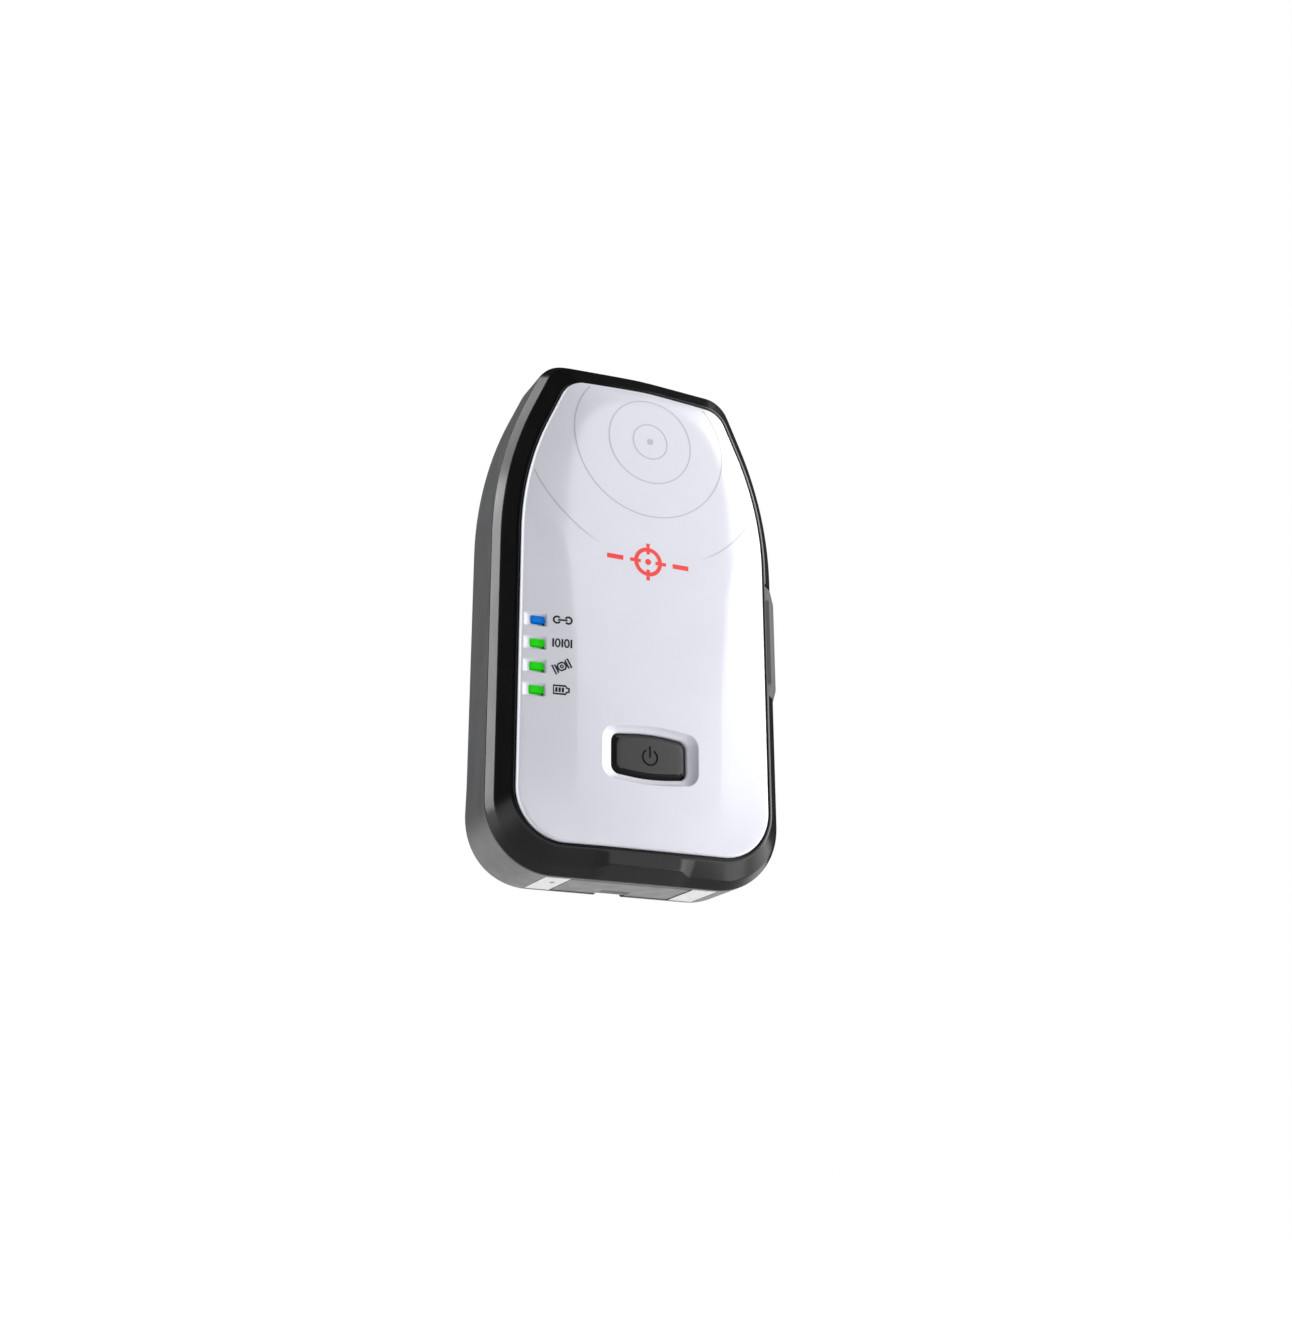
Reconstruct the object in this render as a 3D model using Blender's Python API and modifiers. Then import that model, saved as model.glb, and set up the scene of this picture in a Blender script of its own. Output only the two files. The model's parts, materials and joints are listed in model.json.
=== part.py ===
"""Hand-held GNSS receiver: a slim upright unit with a satellite antenna behind its light front panel.

The unit stands upright on its flat bottom. +Z is up, the front panel faces -Y, and the origin is
at the bottom centre of the unit's box. All sizes below are in millimetres and become metres when
they reach a mesh.
"""
import math

import bmesh
import bpy
from mathutils import Matrix, Vector

MM = 0.001

# ---- driving dimensions (millimetres) -------------------------------------------------------
BODY_HALF_WIDTH = 42.45
BODY_HEIGHT = 147.0
BODY_BACK = 16.0            # y of the flat back
EDGE_Y = -11.2              # y of the plane that holds the front panel's edge
SLOPE_Y = -7.35             # y where the frame's front slope ends
STRIP_Y = -4.54             # y where the frame's side strip ends
GAP = 0.3                   # clearance between neighbouring pieces
SIDES = [("left", -1), ("right", 1)]

PANEL_FOOT = 7.6            # z of the front panel's bottom edge
PANEL_THICKNESS = 1.8
PANEL_HALF_WIDTH = 36.2
LEDGE = 1.2                 # how far the frame reaches under the panel's edge

WALL = 2.4                  # rear housing wall
RIM_Y = STRIP_Y + GAP       # front rim of the rear housing
FLOOR_Y = 13.7              # inner face of the rear housing's back wall

BUTTON_Z = 32.1
BUTTON_SIZE = (21.6, 10.9)
BUTTON_BOW = 0.6
BUTTON_TRAVEL = 1.0
DISH_SIZE = (27.4, 14.0)
DISH_BOW = 0.8

LED_X = -31.6
LED_Z = [65.7 - 6.37 * i for i in range(4)]
LENS_SIZE = (3.9, 2.1)
POCKET_SECTION = [(-4.3, -3.0), (-3.8, 0.15), (-2.15, 0.85), (2.2, 0.85), (2.2, -3.0)]
POCKET_HALF_HEIGHT = 1.85

ANTENNA_Z = 119.5
GROUND_RADIUS = 23.3        # the antenna's round ground plane
BOARD_Y = (-2.5, -0.9)
BOARD_Z = (22.0, 94.0)

COVER_AXIS = (41.2, 5.5)    # x, y of the port cover's vertical hinge
COVER_Z = (55.0, 58.3, 82.8, 87.4)
PORT_Z = 71.0
PIN_RADIUS = 0.5            # both hinge pins

DOOR_AXIS = (-1.2, 2.0)     # y, z of the battery door's hinge, which runs along x
DOOR_HALF_WIDTH = 17.1
DOOR_BACK = 12.7
NOTCH_HALF_WIDTH = 4.2      # finger-nail notch in the rear edge of the door and the housing behind it
PLATE_X = (17.6, 24.5)      # the metal plates at the two sides of the door
PLATE_Y = (-2.8, 12.6)
PLATE_THICKNESS = 0.6

INSERT_Z = 84.0             # threaded insert in the back, for a pole clamp
INSERT_RADIUS = 4.2
INSERT_BORE = 3.0
INSERT_LENGTH = 7.9
VENT = (24.0, 44.0)         # x, z of the pressure vent in the back
VENT_RADIUS = 3.0
LABEL_LOW = (-21.0, 29.0)   # x, z of the rear label's corners
LABEL_HIGH = (16.0, 51.0)

CASE_SCREWS = [(-31.0, 14.5), (31.0, 14.5), (-27.0, 124.5), (27.0, 124.5)]
BOARD_SCREWS = [(-29.5, 27.0), (29.5, 27.0), (-29.5, 89.0), (29.5, 89.0)]
ANTENNA_REACH = 19.8        # antenna screws' distance from the antenna's centre
ANTENNA_SCREWS = [(-ANTENNA_REACH, ANTENNA_Z), (ANTENNA_REACH, ANTENNA_Z),
                  (0.0, ANTENNA_Z - ANTENNA_REACH), (0.0, ANTENNA_Z + ANTENNA_REACH)]
CASE_HOLE = 1.35            # radii of the screw holes
BOARD_PILOT = 1.1
BOARD_CLEARANCE = 1.25


# ---- scene and materials --------------------------------------------------------------------
def clear_scene():
    for obj in list(bpy.data.objects):
        bpy.data.objects.remove(obj, do_unlink=True)


def new_collection(name):
    collection = bpy.data.collections.new(name)
    bpy.context.scene.collection.children.link(collection)
    return collection


def material(name, colour, roughness, metallic=0.0):
    mat = bpy.data.materials.new(name)
    mat.use_nodes = True
    shader = mat.node_tree.nodes["Principled BSDF"]
    shader.inputs["Base Color"].default_value = (*colour, 1.0)
    shader.inputs["Roughness"].default_value = roughness
    shader.inputs["Metallic"].default_value = metallic
    mat.diffuse_color = (*colour, 1.0)
    return mat


clear_scene()
PARTS = new_collection("gnss_receiver")
CUTTERS = new_collection("cutters")

PANEL_WHITE = material("panel_white", (0.72, 0.73, 0.78), 0.32)
FRAME_BLACK = material("frame_black", (0.012, 0.012, 0.013), 0.38)
HOUSING_GREY = material("housing_grey", (0.10, 0.10, 0.105), 0.45)
CAP_GREY = material("button_grey", (0.055, 0.055, 0.058), 0.5)
SEAL_RUBBER = material("seal_rubber", (0.03, 0.03, 0.03), 0.8)
PLATE_STEEL = material("plate_steel", (0.70, 0.70, 0.72), 0.35, 1.0)
SCREW_STEEL = material("screw_steel", (0.45, 0.45, 0.46), 0.35, 1.0)
BRASS = material("brass", (0.70, 0.52, 0.22), 0.3, 1.0)
BOARD_GREEN = material("board_green", (0.02, 0.16, 0.07), 0.5)
SHIELD_TIN = material("shield_tin", (0.62, 0.63, 0.64), 0.3, 1.0)
CERAMIC = material("patch_ceramic", (0.62, 0.55, 0.42), 0.6)
BATTERY_BLUE = material("battery_wrap", (0.04, 0.09, 0.22), 0.45)
TRAY_BLACK = material("tray_black", (0.03, 0.03, 0.032), 0.6)
LENS_BLUE = material("lens_blue", (0.0, 0.12, 0.70), 0.2)
LENS_GREEN = material("lens_green", (0.01, 0.55, 0.01), 0.2)
CHIP_WHITE = material("chip_white", (0.85, 0.85, 0.78), 0.4)
CHIP_BLACK = material("chip_black", (0.02, 0.02, 0.02), 0.4)
LABEL_GREY = material("label_grey", (0.35, 0.35, 0.36), 0.4)


# ---- mesh helpers ---------------------------------------------------------------------------
def add_object(name, mesh, mat, cutter=False):
    obj = bpy.data.objects.new(name, mesh)
    if cutter:
        obj.hide_render = True
        obj.display_type = "WIRE"
        CUTTERS.objects.link(obj)
    else:
        mesh.materials.append(mat)
        PARTS.objects.link(obj)
    return obj


def finish_mesh(bm, name, sharp_angle=30.0):
    """Recalculates the normals outwards and shades the faces smooth up to the sharp angle."""
    bmesh.ops.recalc_face_normals(bm, faces=bm.faces)
    mesh = bpy.data.meshes.new(name)
    bm.to_mesh(mesh)
    bm.free()
    mesh.shade_smooth()
    mesh.set_sharp_from_angle(angle=math.radians(sharp_angle))
    return mesh


def box(name, low, high, mat, bevel=0.0, cutter=False):
    """A box between two corners in millimetres, with its edges rounded by bevel."""
    bm = bmesh.new()
    bmesh.ops.create_cube(bm, size=1.0)
    size = Vector(high) - Vector(low)
    bmesh.ops.scale(bm, vec=size * MM, verts=bm.verts)
    if bevel:
        bmesh.ops.bevel(bm, geom=bm.edges[:], offset=bevel * MM, segments=2, profile=0.5, affect="EDGES")
    mesh = finish_mesh(bm, name)
    obj = add_object(name, mesh, mat, cutter)
    obj.location = (Vector(low) + Vector(high)) * 0.5 * MM
    return obj


AXIS_TURN = {
    "x": Matrix.Rotation(math.radians(90), 4, "Y"),
    "y": Matrix.Rotation(math.radians(-90), 4, "X"),
    "z": Matrix.Identity(4),
}


def cylinder(name, start, axis, length, radius, mat, sides=16, cutter=False):
    """A cylinder that starts at a point and runs along +axis."""
    bm = bmesh.new()
    bmesh.ops.create_cone(bm, cap_ends=True, segments=sides, radius1=radius * MM,
                          radius2=radius * MM, depth=length * MM)
    bmesh.ops.translate(bm, vec=(0, 0, length * MM * 0.5), verts=bm.verts)
    bmesh.ops.transform(bm, matrix=AXIS_TURN[axis], verts=bm.verts)
    mesh = finish_mesh(bm, name)
    obj = add_object(name, mesh, mat, cutter)
    obj.location = Vector(start) * MM
    return obj


def box_tool(name, low, high, bevel=0.0):
    """A box that only cuts or joins other pieces."""
    return box(name, low, high, None, bevel, cutter=True)


def round_tool(name, start, axis, length, radius, sides=16):
    """A cylinder that only cuts or joins other pieces."""
    return cylinder(name, start, axis, length, radius, None, sides, cutter=True)


def turned(name, base, profile, mat, sides):
    """A turned piece about +Y: profile is (radius, y) from the front end to the back end."""
    mesh = bpy.data.meshes.new(name)
    verts = [(radius * MM, 0.0, -y * MM) for radius, y in profile]
    mesh.from_pydata(verts, [(i, i + 1) for i in range(len(verts) - 1)], [])
    obj = add_object(name, mesh, mat)
    screw = obj.modifiers.new("turn", "SCREW")
    screw.steps = sides
    screw.render_steps = sides
    screw.use_merge_vertices = True
    screw.merge_threshold = 0.00001
    obj.rotation_euler = (math.radians(90), 0, 0)
    obj.location = Vector(base) * MM


def loft(name, rings, mat, closed=False, cutter=False, sharp_angle=30.0):
    """Skins rings of equal count. A closed loft joins the last ring to the first; others get caps."""
    bm = bmesh.new()
    loops = [[bm.verts.new(Vector(point) * MM) for point in ring] for ring in rings]
    count = len(loops[0])
    pairs = list(zip(loops, loops[1:]))
    if closed:
        pairs.append((loops[-1], loops[0]))
    for lower, upper in pairs:
        for i in range(count):
            j = (i + 1) % count
            bm.faces.new((lower[i], lower[j], upper[j], upper[i]))
    if not closed:
        bm.faces.new(loops[0])
        bm.faces.new(loops[-1])
    mesh = finish_mesh(bm, name, sharp_angle)
    return add_object(name, mesh, mat, cutter)


def prism(name, outline, axis, low, high, mat, cutter=False):
    """A flat outline pushed along x, y or z. The outline gives the two other coordinates in order."""
    place = {
        "x": lambda a, b, t: (t, a, b),
        "y": lambda a, b, t: (a, t, b),
        "z": lambda a, b, t: (a, b, t),
    }[axis]
    rings = [[place(a, b, t) for a, b in outline] for t in (low, high)]
    return loft(name, rings, mat, cutter=cutter)


def boolean(target, cutter, operation="DIFFERENCE"):
    modifier = target.modifiers.new(operation.lower(), "BOOLEAN")
    modifier.operation = operation
    modifier.object = cutter
    modifier.solver = "EXACT"


def cut(target, *cutters):
    for cutter in cutters:
        boolean(target, cutter)


def join(target, *additions):
    for addition in additions:
        boolean(target, addition, "UNION")


# ---- outlines -------------------------------------------------------------------------------
def smoothstep(value):
    value = min(max(value, 0.0), 1.0)
    return value * value * (3 - 2 * value)


def fillet(previous, corner, following, radius, steps):
    """The arc that rounds a corner, as steps + 1 points."""
    into = (Vector(previous) - Vector(corner)).normalized()
    out = (Vector(following) - Vector(corner)).normalized()
    half = into.angle(out) * 0.5
    tangent = radius / math.tan(half)
    centre = Vector(corner) + (into + out).normalized() * (radius / math.sin(half))
    start = Vector(corner) + into * tangent - centre
    end = Vector(corner) + out * tangent - centre
    sweep = start.angle_signed(end)
    points = []
    for i in range(steps + 1):
        arm = start.copy()
        arm.rotate(Matrix.Rotation(-sweep * i / steps, 2))
        points.append(centre + arm)
    return points


def between(first, last, fractions):
    return [Vector(first).lerp(Vector(last), fraction) for fraction in fractions]


LIP_FLANK = (9.6, 14.5)     # the thumb lip is full height to the first x and gone at the second


def outline(foot, shoulder, top_corner, crown_z):
    """Closed outline in x, z from bottom centre up the right side, as points in the same order.

    foot, shoulder and top_corner are (x, z, radius); every outline gets the same number of points
    on every stretch, so that any two of them can be skinned together.
    """
    foot_arc = fillet((0.0, foot[1]), foot[:2], shoulder[:2], foot[2], 8)
    shoulder_arc = fillet(foot[:2], shoulder[:2], top_corner[:2], shoulder[2], 8)
    top_arc = fillet(shoulder[:2], top_corner[:2], (0.0, crown_z), top_corner[2], 6)
    inner, outer = LIP_FLANK
    half = [Vector((x, foot[1])) for x in (0.0, inner * 0.5, inner)]
    half += [Vector((inner + (outer - inner) * f, foot[1])) for f in (0.25, 0.5, 0.75, 1.0)]
    half += between(half[-1], foot_arc[0], (0.5,))
    half += foot_arc
    half += between(foot_arc[-1], shoulder_arc[0], (0.25, 0.5, 0.75))
    half += shoulder_arc
    half += between(shoulder_arc[-1], top_arc[0], (0.5,))
    half += top_arc
    half += between(top_arc[-1], (0.0, crown_z), (0.4, 0.8))
    half.append(Vector((0.0, crown_z - 0.1)))
    mirrored = [Vector((-point.x, point.y)) for point in half[-2:0:-1]]
    return half + mirrored


def offset(points, distance):
    """Moves a closed anticlockwise outline outwards by a distance."""
    moved = []
    for i, point in enumerate(points):
        along = (points[(i + 1) % len(points)] - points[i - 1]).normalized()
        moved.append(point + Vector((along.y, -along.x)) * distance)
    return moved


PANEL_EDGE = outline((PANEL_HALF_WIDTH, PANEL_FOOT, 13.6), (PANEL_HALF_WIDTH, 108.9, 84.0),
                     (23.25, 138.0, 7.0), 139.4)
SLOPE_EDGE = outline((40.8, 2.1, 17.0), (40.8, 111.04, 99.0), (26.1, 144.1, 8.0), 145.4)
BODY_EDGE = outline((BODY_HALF_WIDTH, 0.0, 19.0), (BODY_HALF_WIDTH, 112.6, 102.0),
                    (27.75, 145.5, 9.0), BODY_HEIGHT)
BACK_EDGE = outline((34.6, 2.0, 13.0), (34.6, 108.0, 90.0), (21.4, 136.4, 6.0), 137.6)


def ring_at(points, y):
    return [(point.x, y, point.y) for point in points]


# ---- front panel ----------------------------------------------------------------------------
def crease_x(z):
    """Half-width of the raised centre of the panel; it flares out to the edge below the antenna."""
    height = z - PANEL_FOOT
    flare = min(max((height - 66.0) / 27.0, 0.0), 1.0)
    return 20.5 + min(height, 66.0) / 66.0 + 12.5 * flare ** 2.2


def panel_rise(x, z, edge_x):
    """How far the panel's face stands in front of its edge plane."""
    height = z - PANEL_FOOT
    upper = smoothstep((height - 55.0) / 38.0)
    centre = 3.2 + 1.85 * smoothstep((height - 20.0) / 95.0)
    centre *= 0.3 + 0.7 * smoothstep((height + 8.0) / 34.0)
    centre *= 1.0 - 0.78 * max((z - 118.0) / 21.4, 0.0) ** 2.5
    edge_rise = 0.3
    crease = min(crease_x(z), edge_x * 0.97)
    side = min(abs(x), crease)
    low_drop = 0.5 * (side / crease) ** 2
    high_drop = (centre - edge_rise) * (side / edge_x) ** 2.5
    rise = centre - low_drop * (1 - upper) - high_drop * upper
    if abs(x) > crease:
        rise += (edge_rise - rise) * (abs(x) - crease) / (edge_x - crease)
    return rise


def panel_grid():
    """Rows of (x, y, z) over the panel's face; the ends of each row lie on the panel's outline."""
    right = [point for point in PANEL_EDGE[:len(PANEL_EDGE) // 2 + 1]]
    corner = next(i for i, point in enumerate(right) if point.y > PANEL_FOOT + 0.001) - 1
    top = next(i for i, point in enumerate(right) if point.x < 19.5 and point.y > 100.0)
    ends = right[corner:top + 1]
    arch = right[-1].y - ends[-1].y
    rows = []
    extra = []
    for lower, upper in zip(ends, ends[1:]):
        extra.append(lower)
        steps = max(1, round((upper.y - lower.y) / 8.0))
        extra += [lower.lerp(upper, i / steps) for i in range(1, steps)]
    extra.append(ends[-1])
    for end in extra:
        bow = arch * smoothstep((end.y - 120.0) / (ends[-1].y - 120.0))
        crease = min(crease_x(end.y), end.x * 0.9)
        xs = [crease * f for f in (0.0, 0.35, 0.7, 1.0)]
        xs += [crease + (end.x - 0.45 - crease) * f for f in (0.5, 1.0)]
        xs.append(end.x)
        xs = [-x for x in xs[:0:-1]] + xs
        row = []
        for x in xs:
            z = end.y + bow * (1 - (x / end.x) ** 2)
            at_edge = abs(abs(x) - end.x) < 0.001
            rise = 0.0 if at_edge else panel_rise(x, z, end.x)
            row.append((x, EDGE_Y - rise, z))
        rows.append(row)
    for row in (rows[0], rows[-1]):
        row[:] = [(x, EDGE_Y, z) for x, y, z in row]
    return rows


def rounded_rectangle(width, height, radius, bow=0.0, steps=4):
    """An outline about the origin whose top and bottom bulge by bow at the middle."""
    half_w, half_h = width / 2, height / 2
    right_top = fillet((half_w, 0.0), (half_w, half_h), (0.0, half_h), radius, steps)
    start = right_top[-1]
    arch = []
    for part in (1 / 3, 2 / 3):
        arch.append(Vector((start.x * (1 - part), start.y + bow * math.sin(part * math.pi / 2))))
    quarter = right_top + arch
    top = Vector((0.0, half_h + bow))
    left_top = [Vector((-point.x, point.y)) for point in reversed(quarter)]
    upper = quarter + [top] + left_top
    return upper + [Vector((-point.x, -point.y)) for point in upper]


def ring_around(points, centre_z, y):
    return [(point.x, y, point.y + centre_z) for point in points]


def make_front_panel():
    rows = panel_grid()
    bm = bmesh.new()
    front = [[bm.verts.new(Vector(point) * MM) for point in row] for row in rows]
    back = [[bm.verts.new(Vector((x, y + PANEL_THICKNESS, z)) * MM) for x, y, z in row] for row in rows]
    for sheet in (front, back):
        for lower, upper in zip(sheet, sheet[1:]):
            for i in range(len(lower) - 1):
                bm.faces.new((lower[i], lower[i + 1], upper[i + 1], upper[i]))
    sides = [(front[0], back[0]), (front[-1], back[-1])]
    sides.append(([row[0] for row in front], [row[0] for row in back]))
    sides.append(([row[-1] for row in front], [row[-1] for row in back]))
    for outer, inner in sides:
        for i in range(len(outer) - 1):
            bm.faces.new((outer[i], outer[i + 1], inner[i + 1], inner[i]))
    panel = add_object("front_panel", finish_mesh(bm, "front_panel", 25.0), PANEL_WHITE)

    collar = rounded_rectangle(DISH_SIZE[0] + 3.0, DISH_SIZE[1] + 3.0, 5.0, DISH_BOW)
    collar_block = loft("button_collar", [ring_around(collar, BUTTON_Z, y) for y in (-13.2, -10.7)],
                        None, cutter=True)
    join(panel, collar_block)
    dish_rings = []
    for grow, y in ((1.6, -15.4), (0.0, -14.1), (-4.6, -12.7)):
        shape = rounded_rectangle(DISH_SIZE[0] + grow, DISH_SIZE[1] + grow * 0.72, 3.8, DISH_BOW)
        dish_rings.append(ring_around(shape, BUTTON_Z, y))
    dish = loft("button_dish", dish_rings, None, cutter=True)
    hole_shape = rounded_rectangle(BUTTON_SIZE[0] + 2 * GAP, BUTTON_SIZE[1] + 2 * GAP, 2.8, BUTTON_BOW)
    hole_rings = [ring_around(hole_shape, BUTTON_Z, y) for y in (-14.0, -8.0)]
    hole = loft("button_hole", hole_rings, None, cutter=True)
    cut(panel, dish, hole)
    half_w = (LENS_SIZE[0] + GAP) / 2
    half_h = (LENS_SIZE[1] + GAP) / 2
    for number, z in enumerate(LED_Z, 1):
        face_y = EDGE_Y - panel_rise(LED_X, z, PANEL_HALF_WIDTH)
        section = [(LED_X + x, face_y + y) for x, y in POCKET_SECTION]
        low, high = z - POCKET_HALF_HEIGHT, z + POCKET_HALF_HEIGHT
        pocket = prism(f"led_pocket_{number}", section, "z", low, high, None, cutter=True)
        slot = box_tool(f"led_slot_{number}", (LED_X - half_w, -14.0, z - half_h),
                        (LED_X + half_w, -8.0, z + half_h))
        cut(panel, pocket, slot)


# ---- front frame ----------------------------------------------------------------------------
def seal_detour(point):
    """How far the housing seal and its groove move inwards to pass behind the port cover."""
    if point.x < 0:
        return 0.0
    return 3.0 * smoothstep((point.y - 37.0) / 16.0) * smoothstep((103.0 - point.y) / 10.0)


def inboard(distance):
    """The body's outline moved inwards by a distance, with the detour behind the port cover."""
    moved = offset(BODY_EDGE, -distance)
    return [Vector((point.x - seal_detour(point), point.y)) for point in moved]


def lip_amount(point):
    """1 on the thumb lip in the middle of the frame's bottom edge, 0 beyond its flanks."""
    inner, outer = LIP_FLANK
    low = point.y < 20.0
    return smoothstep((outer - abs(point.x)) / (outer - inner)) if low else 0.0


def make_front_frame():
    inner_wall = offset(PANEL_EDGE, GAP)
    bead = offset(PANEL_EDGE, 0.7)
    slope_start = offset(PANEL_EDGE, 1.3)
    ledge = offset(PANEL_EDGE, -LEDGE)
    slope_ring = []
    for point in SLOPE_EDGE:
        lift = lip_amount(point)
        slope_ring.append((point.x, SLOPE_Y - 2.9 * lift, point.y + 1.0 * lift))
    rings = [
        ring_at(inner_wall, EDGE_Y + PANEL_THICKNESS + GAP),
        ring_at(inner_wall, EDGE_Y + 0.25),
        ring_at(bead, EDGE_Y - 0.05),
        ring_at(slope_start, EDGE_Y + 0.2),
        slope_ring,
        ring_at(BODY_EDGE, STRIP_Y),
        ring_at(inboard(1.2), STRIP_Y),
        ring_at(inboard(1.2), STRIP_Y - 1.1),
        ring_at(inboard(2.9), STRIP_Y - 1.1),
        ring_at(inboard(2.9), STRIP_Y),
        ring_at(inboard(4.0), STRIP_Y),
        ring_at(ledge, EDGE_Y + PANEL_THICKNESS + GAP + 1.6),
        ring_at(ledge, EDGE_Y + PANEL_THICKNESS + GAP),
    ]
    frame = loft("front_frame", rings, FRAME_BLACK, closed=True, sharp_angle=22.0)
    for number, (x, z) in enumerate(CASE_SCREWS, 1):
        join(frame, round_tool(f"frame_boss_{number}", (x, -8.0, z), "y", STRIP_Y + 8.0, 3.3))
    for number, (x, z) in enumerate(CASE_SCREWS, 1):
        cut(frame, round_tool(f"frame_bore_{number}", (x, -7.2, z), "y", 4.0, CASE_HOLE))
    cut(frame, cover_cutter("frame_port_pocket"))


# ---- rear housing ---------------------------------------------------------------------------
def back_round(point):
    """Depth of the rounding at the back: deep on the sides and top, shallow along the bottom."""
    return 2.4 + 5.6 * smoothstep(point.y / 24.0)


def housing_rings():
    rings = [ring_at(BODY_EDGE, RIM_Y)]
    turns = [0.0, 0.25, 0.5, 0.75, 1.0]
    for turn in turns:
        angle = turn * math.pi / 2
        ring = []
        for side, back in zip(BODY_EDGE, BACK_EDGE):
            depth = back_round(side)
            spot = side.lerp(back, 1 - math.cos(angle))
            ring.append((spot.x, BODY_BACK - depth * (1 - math.sin(angle)), spot.y))
        rings.append(ring)
    inner_side = offset(BODY_EDGE, -WALL)
    inner_back = offset(BACK_EDGE, -1.0)
    for turn in reversed(turns):
        angle = turn * math.pi / 2
        ring = []
        for side, inner, back in zip(BODY_EDGE, inner_side, inner_back):
            start = min(BODY_BACK - back_round(side), FLOOR_Y - 0.4)
            spot = inner.lerp(back, 1 - math.cos(angle))
            ring.append((spot.x, start + (FLOOR_Y - start) * math.sin(angle), spot.y))
        rings.append(ring)
    rings.append(ring_at(inner_side, RIM_Y))
    return rings


def make_rear_housing():
    rings = housing_rings()
    bm = bmesh.new()
    loops = [[bm.verts.new(Vector(point) * MM) for point in ring] for ring in rings]
    count = len(loops[0])
    half = len(loops) // 2                  # the first half is the outside, the second the inside
    spans = [(i, i + 1) for i in range(half - 1)]
    spans += [(i, i + 1) for i in range(half, len(loops) - 1)]
    spans.append((len(loops) - 1, 0))
    for first, second in spans:
        for i in range(count):
            j = (i + 1) % count
            bm.faces.new((loops[first][i], loops[first][j], loops[second][j], loops[second][i]))
    bm.faces.new(loops[half - 1])
    bm.faces.new(loops[half])
    housing = add_object("rear_housing", finish_mesh(bm, "rear_housing", 35.0), HOUSING_GREY)

    join(housing, box_tool("port_wall", (36.9, RIM_Y + 0.2, 51.5), (41.9, 9.3, 91.0)))
    for side, sign in SIDES:
        low_x, high_x = sorted((sign * (DOOR_HALF_WIDTH + GAP), sign * 20.6))
        join(housing, box_tool(f"door_ear_{side}", (low_x, -3.8, 0.9), (high_x, 1.4, 4.4)))
    for number, (x, z) in enumerate(CASE_SCREWS, 1):
        join(housing, round_tool(f"case_tower_{number}", (x, RIM_Y + 0.3, z), "y", 18.2, 3.6))
    for number, (x, z) in enumerate(BOARD_SCREWS, 1):
        foot = (x, BOARD_Y[1] + GAP, z)
        join(housing, round_tool(f"board_post_{number}", foot, "y", 14.5 - BOARD_Y[1], 2.6))
    for number, (x, z) in enumerate(ANTENNA_SCREWS, 1):
        join(housing, round_tool(f"antenna_post_{number}", (x, 0.0, z), "y", 14.5, 2.4))
    join(housing, round_tool("insert_boss", (0.0, 6.4, INSERT_Z), "y", 8.0, INSERT_RADIUS + 2.0, 20))

    for number, (x, z) in enumerate(CASE_SCREWS, 1):
        cut(housing,
            round_tool(f"case_bore_{number}", (x, RIM_Y - 1.0, z), "y", 8.0, CASE_HOLE),
            round_tool(f"case_counterbore_{number}", (x, 1.0, z), "y", 18.0, 2.4))
    for number, (x, z) in enumerate(BOARD_SCREWS, 1):
        cut(housing, round_tool(f"board_bore_{number}", (x, -1.5, z), "y", 7.0, BOARD_PILOT))
    for number, (x, z) in enumerate(ANTENNA_SCREWS, 1):
        cut(housing, round_tool(f"antenna_bore_{number}", (x, -1.0, z), "y", 6.0, BOARD_PILOT))
    cut(housing, round_tool("insert_bore", (0.0, 7.6, INSERT_Z), "y", 12.0, INSERT_RADIUS + GAP, 20))
    cut(housing, round_tool("vent_bore", (VENT[0], 12.0, VENT[1]), "y", 6.0, VENT_RADIUS + GAP))
    cut(housing, box_tool("label_recess", (LABEL_LOW[0] - GAP, 15.3, LABEL_LOW[1] - GAP),
                          (LABEL_HIGH[0] + GAP, 17.0, LABEL_HIGH[1] + GAP)))
    cut(housing, box_tool("door_opening", (-DOOR_HALF_WIDTH - GAP, -3.35, -1.0),
                          (DOOR_HALF_WIDTH + GAP, DOOR_BACK + GAP, 4.6)))
    cut(housing, box_tool("nail_notch", (-NOTCH_HALF_WIDTH, DOOR_BACK - 0.5, -1.0),
                          (NOTCH_HALF_WIDTH, BODY_BACK + 1.0, 1.6)))
    for side, sign in SIDES:
        low_x, high_x = sorted((sign * (PLATE_X[0] - GAP), sign * (PLATE_X[1] + GAP)))
        cut(housing, box_tool(f"plate_pocket_{side}", (low_x, PLATE_Y[0] - GAP, -1.0),
                              (high_x, PLATE_Y[1] + GAP, PLATE_THICKNESS + 0.25)))
    cut(housing, round_tool("door_pin_bore", (-20.0, *DOOR_AXIS), "x", 40.0, 0.7))
    cut(housing, cover_cutter("housing_port_pocket"))
    cut(housing, round_tool("cover_pin_bore", (*COVER_AXIS, 52.8), "z", 37.0, 0.75))
    cut(housing, box_tool("port_window", (35.0, -0.9, PORT_Z - 4.9), (40.0, 2.9, PORT_Z + 4.9)))


# ---- port cover on the right side -----------------------------------------------------------
COVER_PROUD = 0.95
COVER_SKIN = [                              # x, y on the body's surface, and the way out from it
    ((37.6, -10.15), (0.0, 0.0)),
    ((38.3, -9.55), (0.667, -0.745)),
    ((40.8, SLOPE_Y), (0.80, -0.55)),
    ((BODY_HALF_WIDTH, STRIP_Y), (0.96, -0.25)),
]
COVER_INSIDE = [(40.9, 3.6), (40.9, -3.6), (39.7, -6.4), (38.5, -8.0)]


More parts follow.
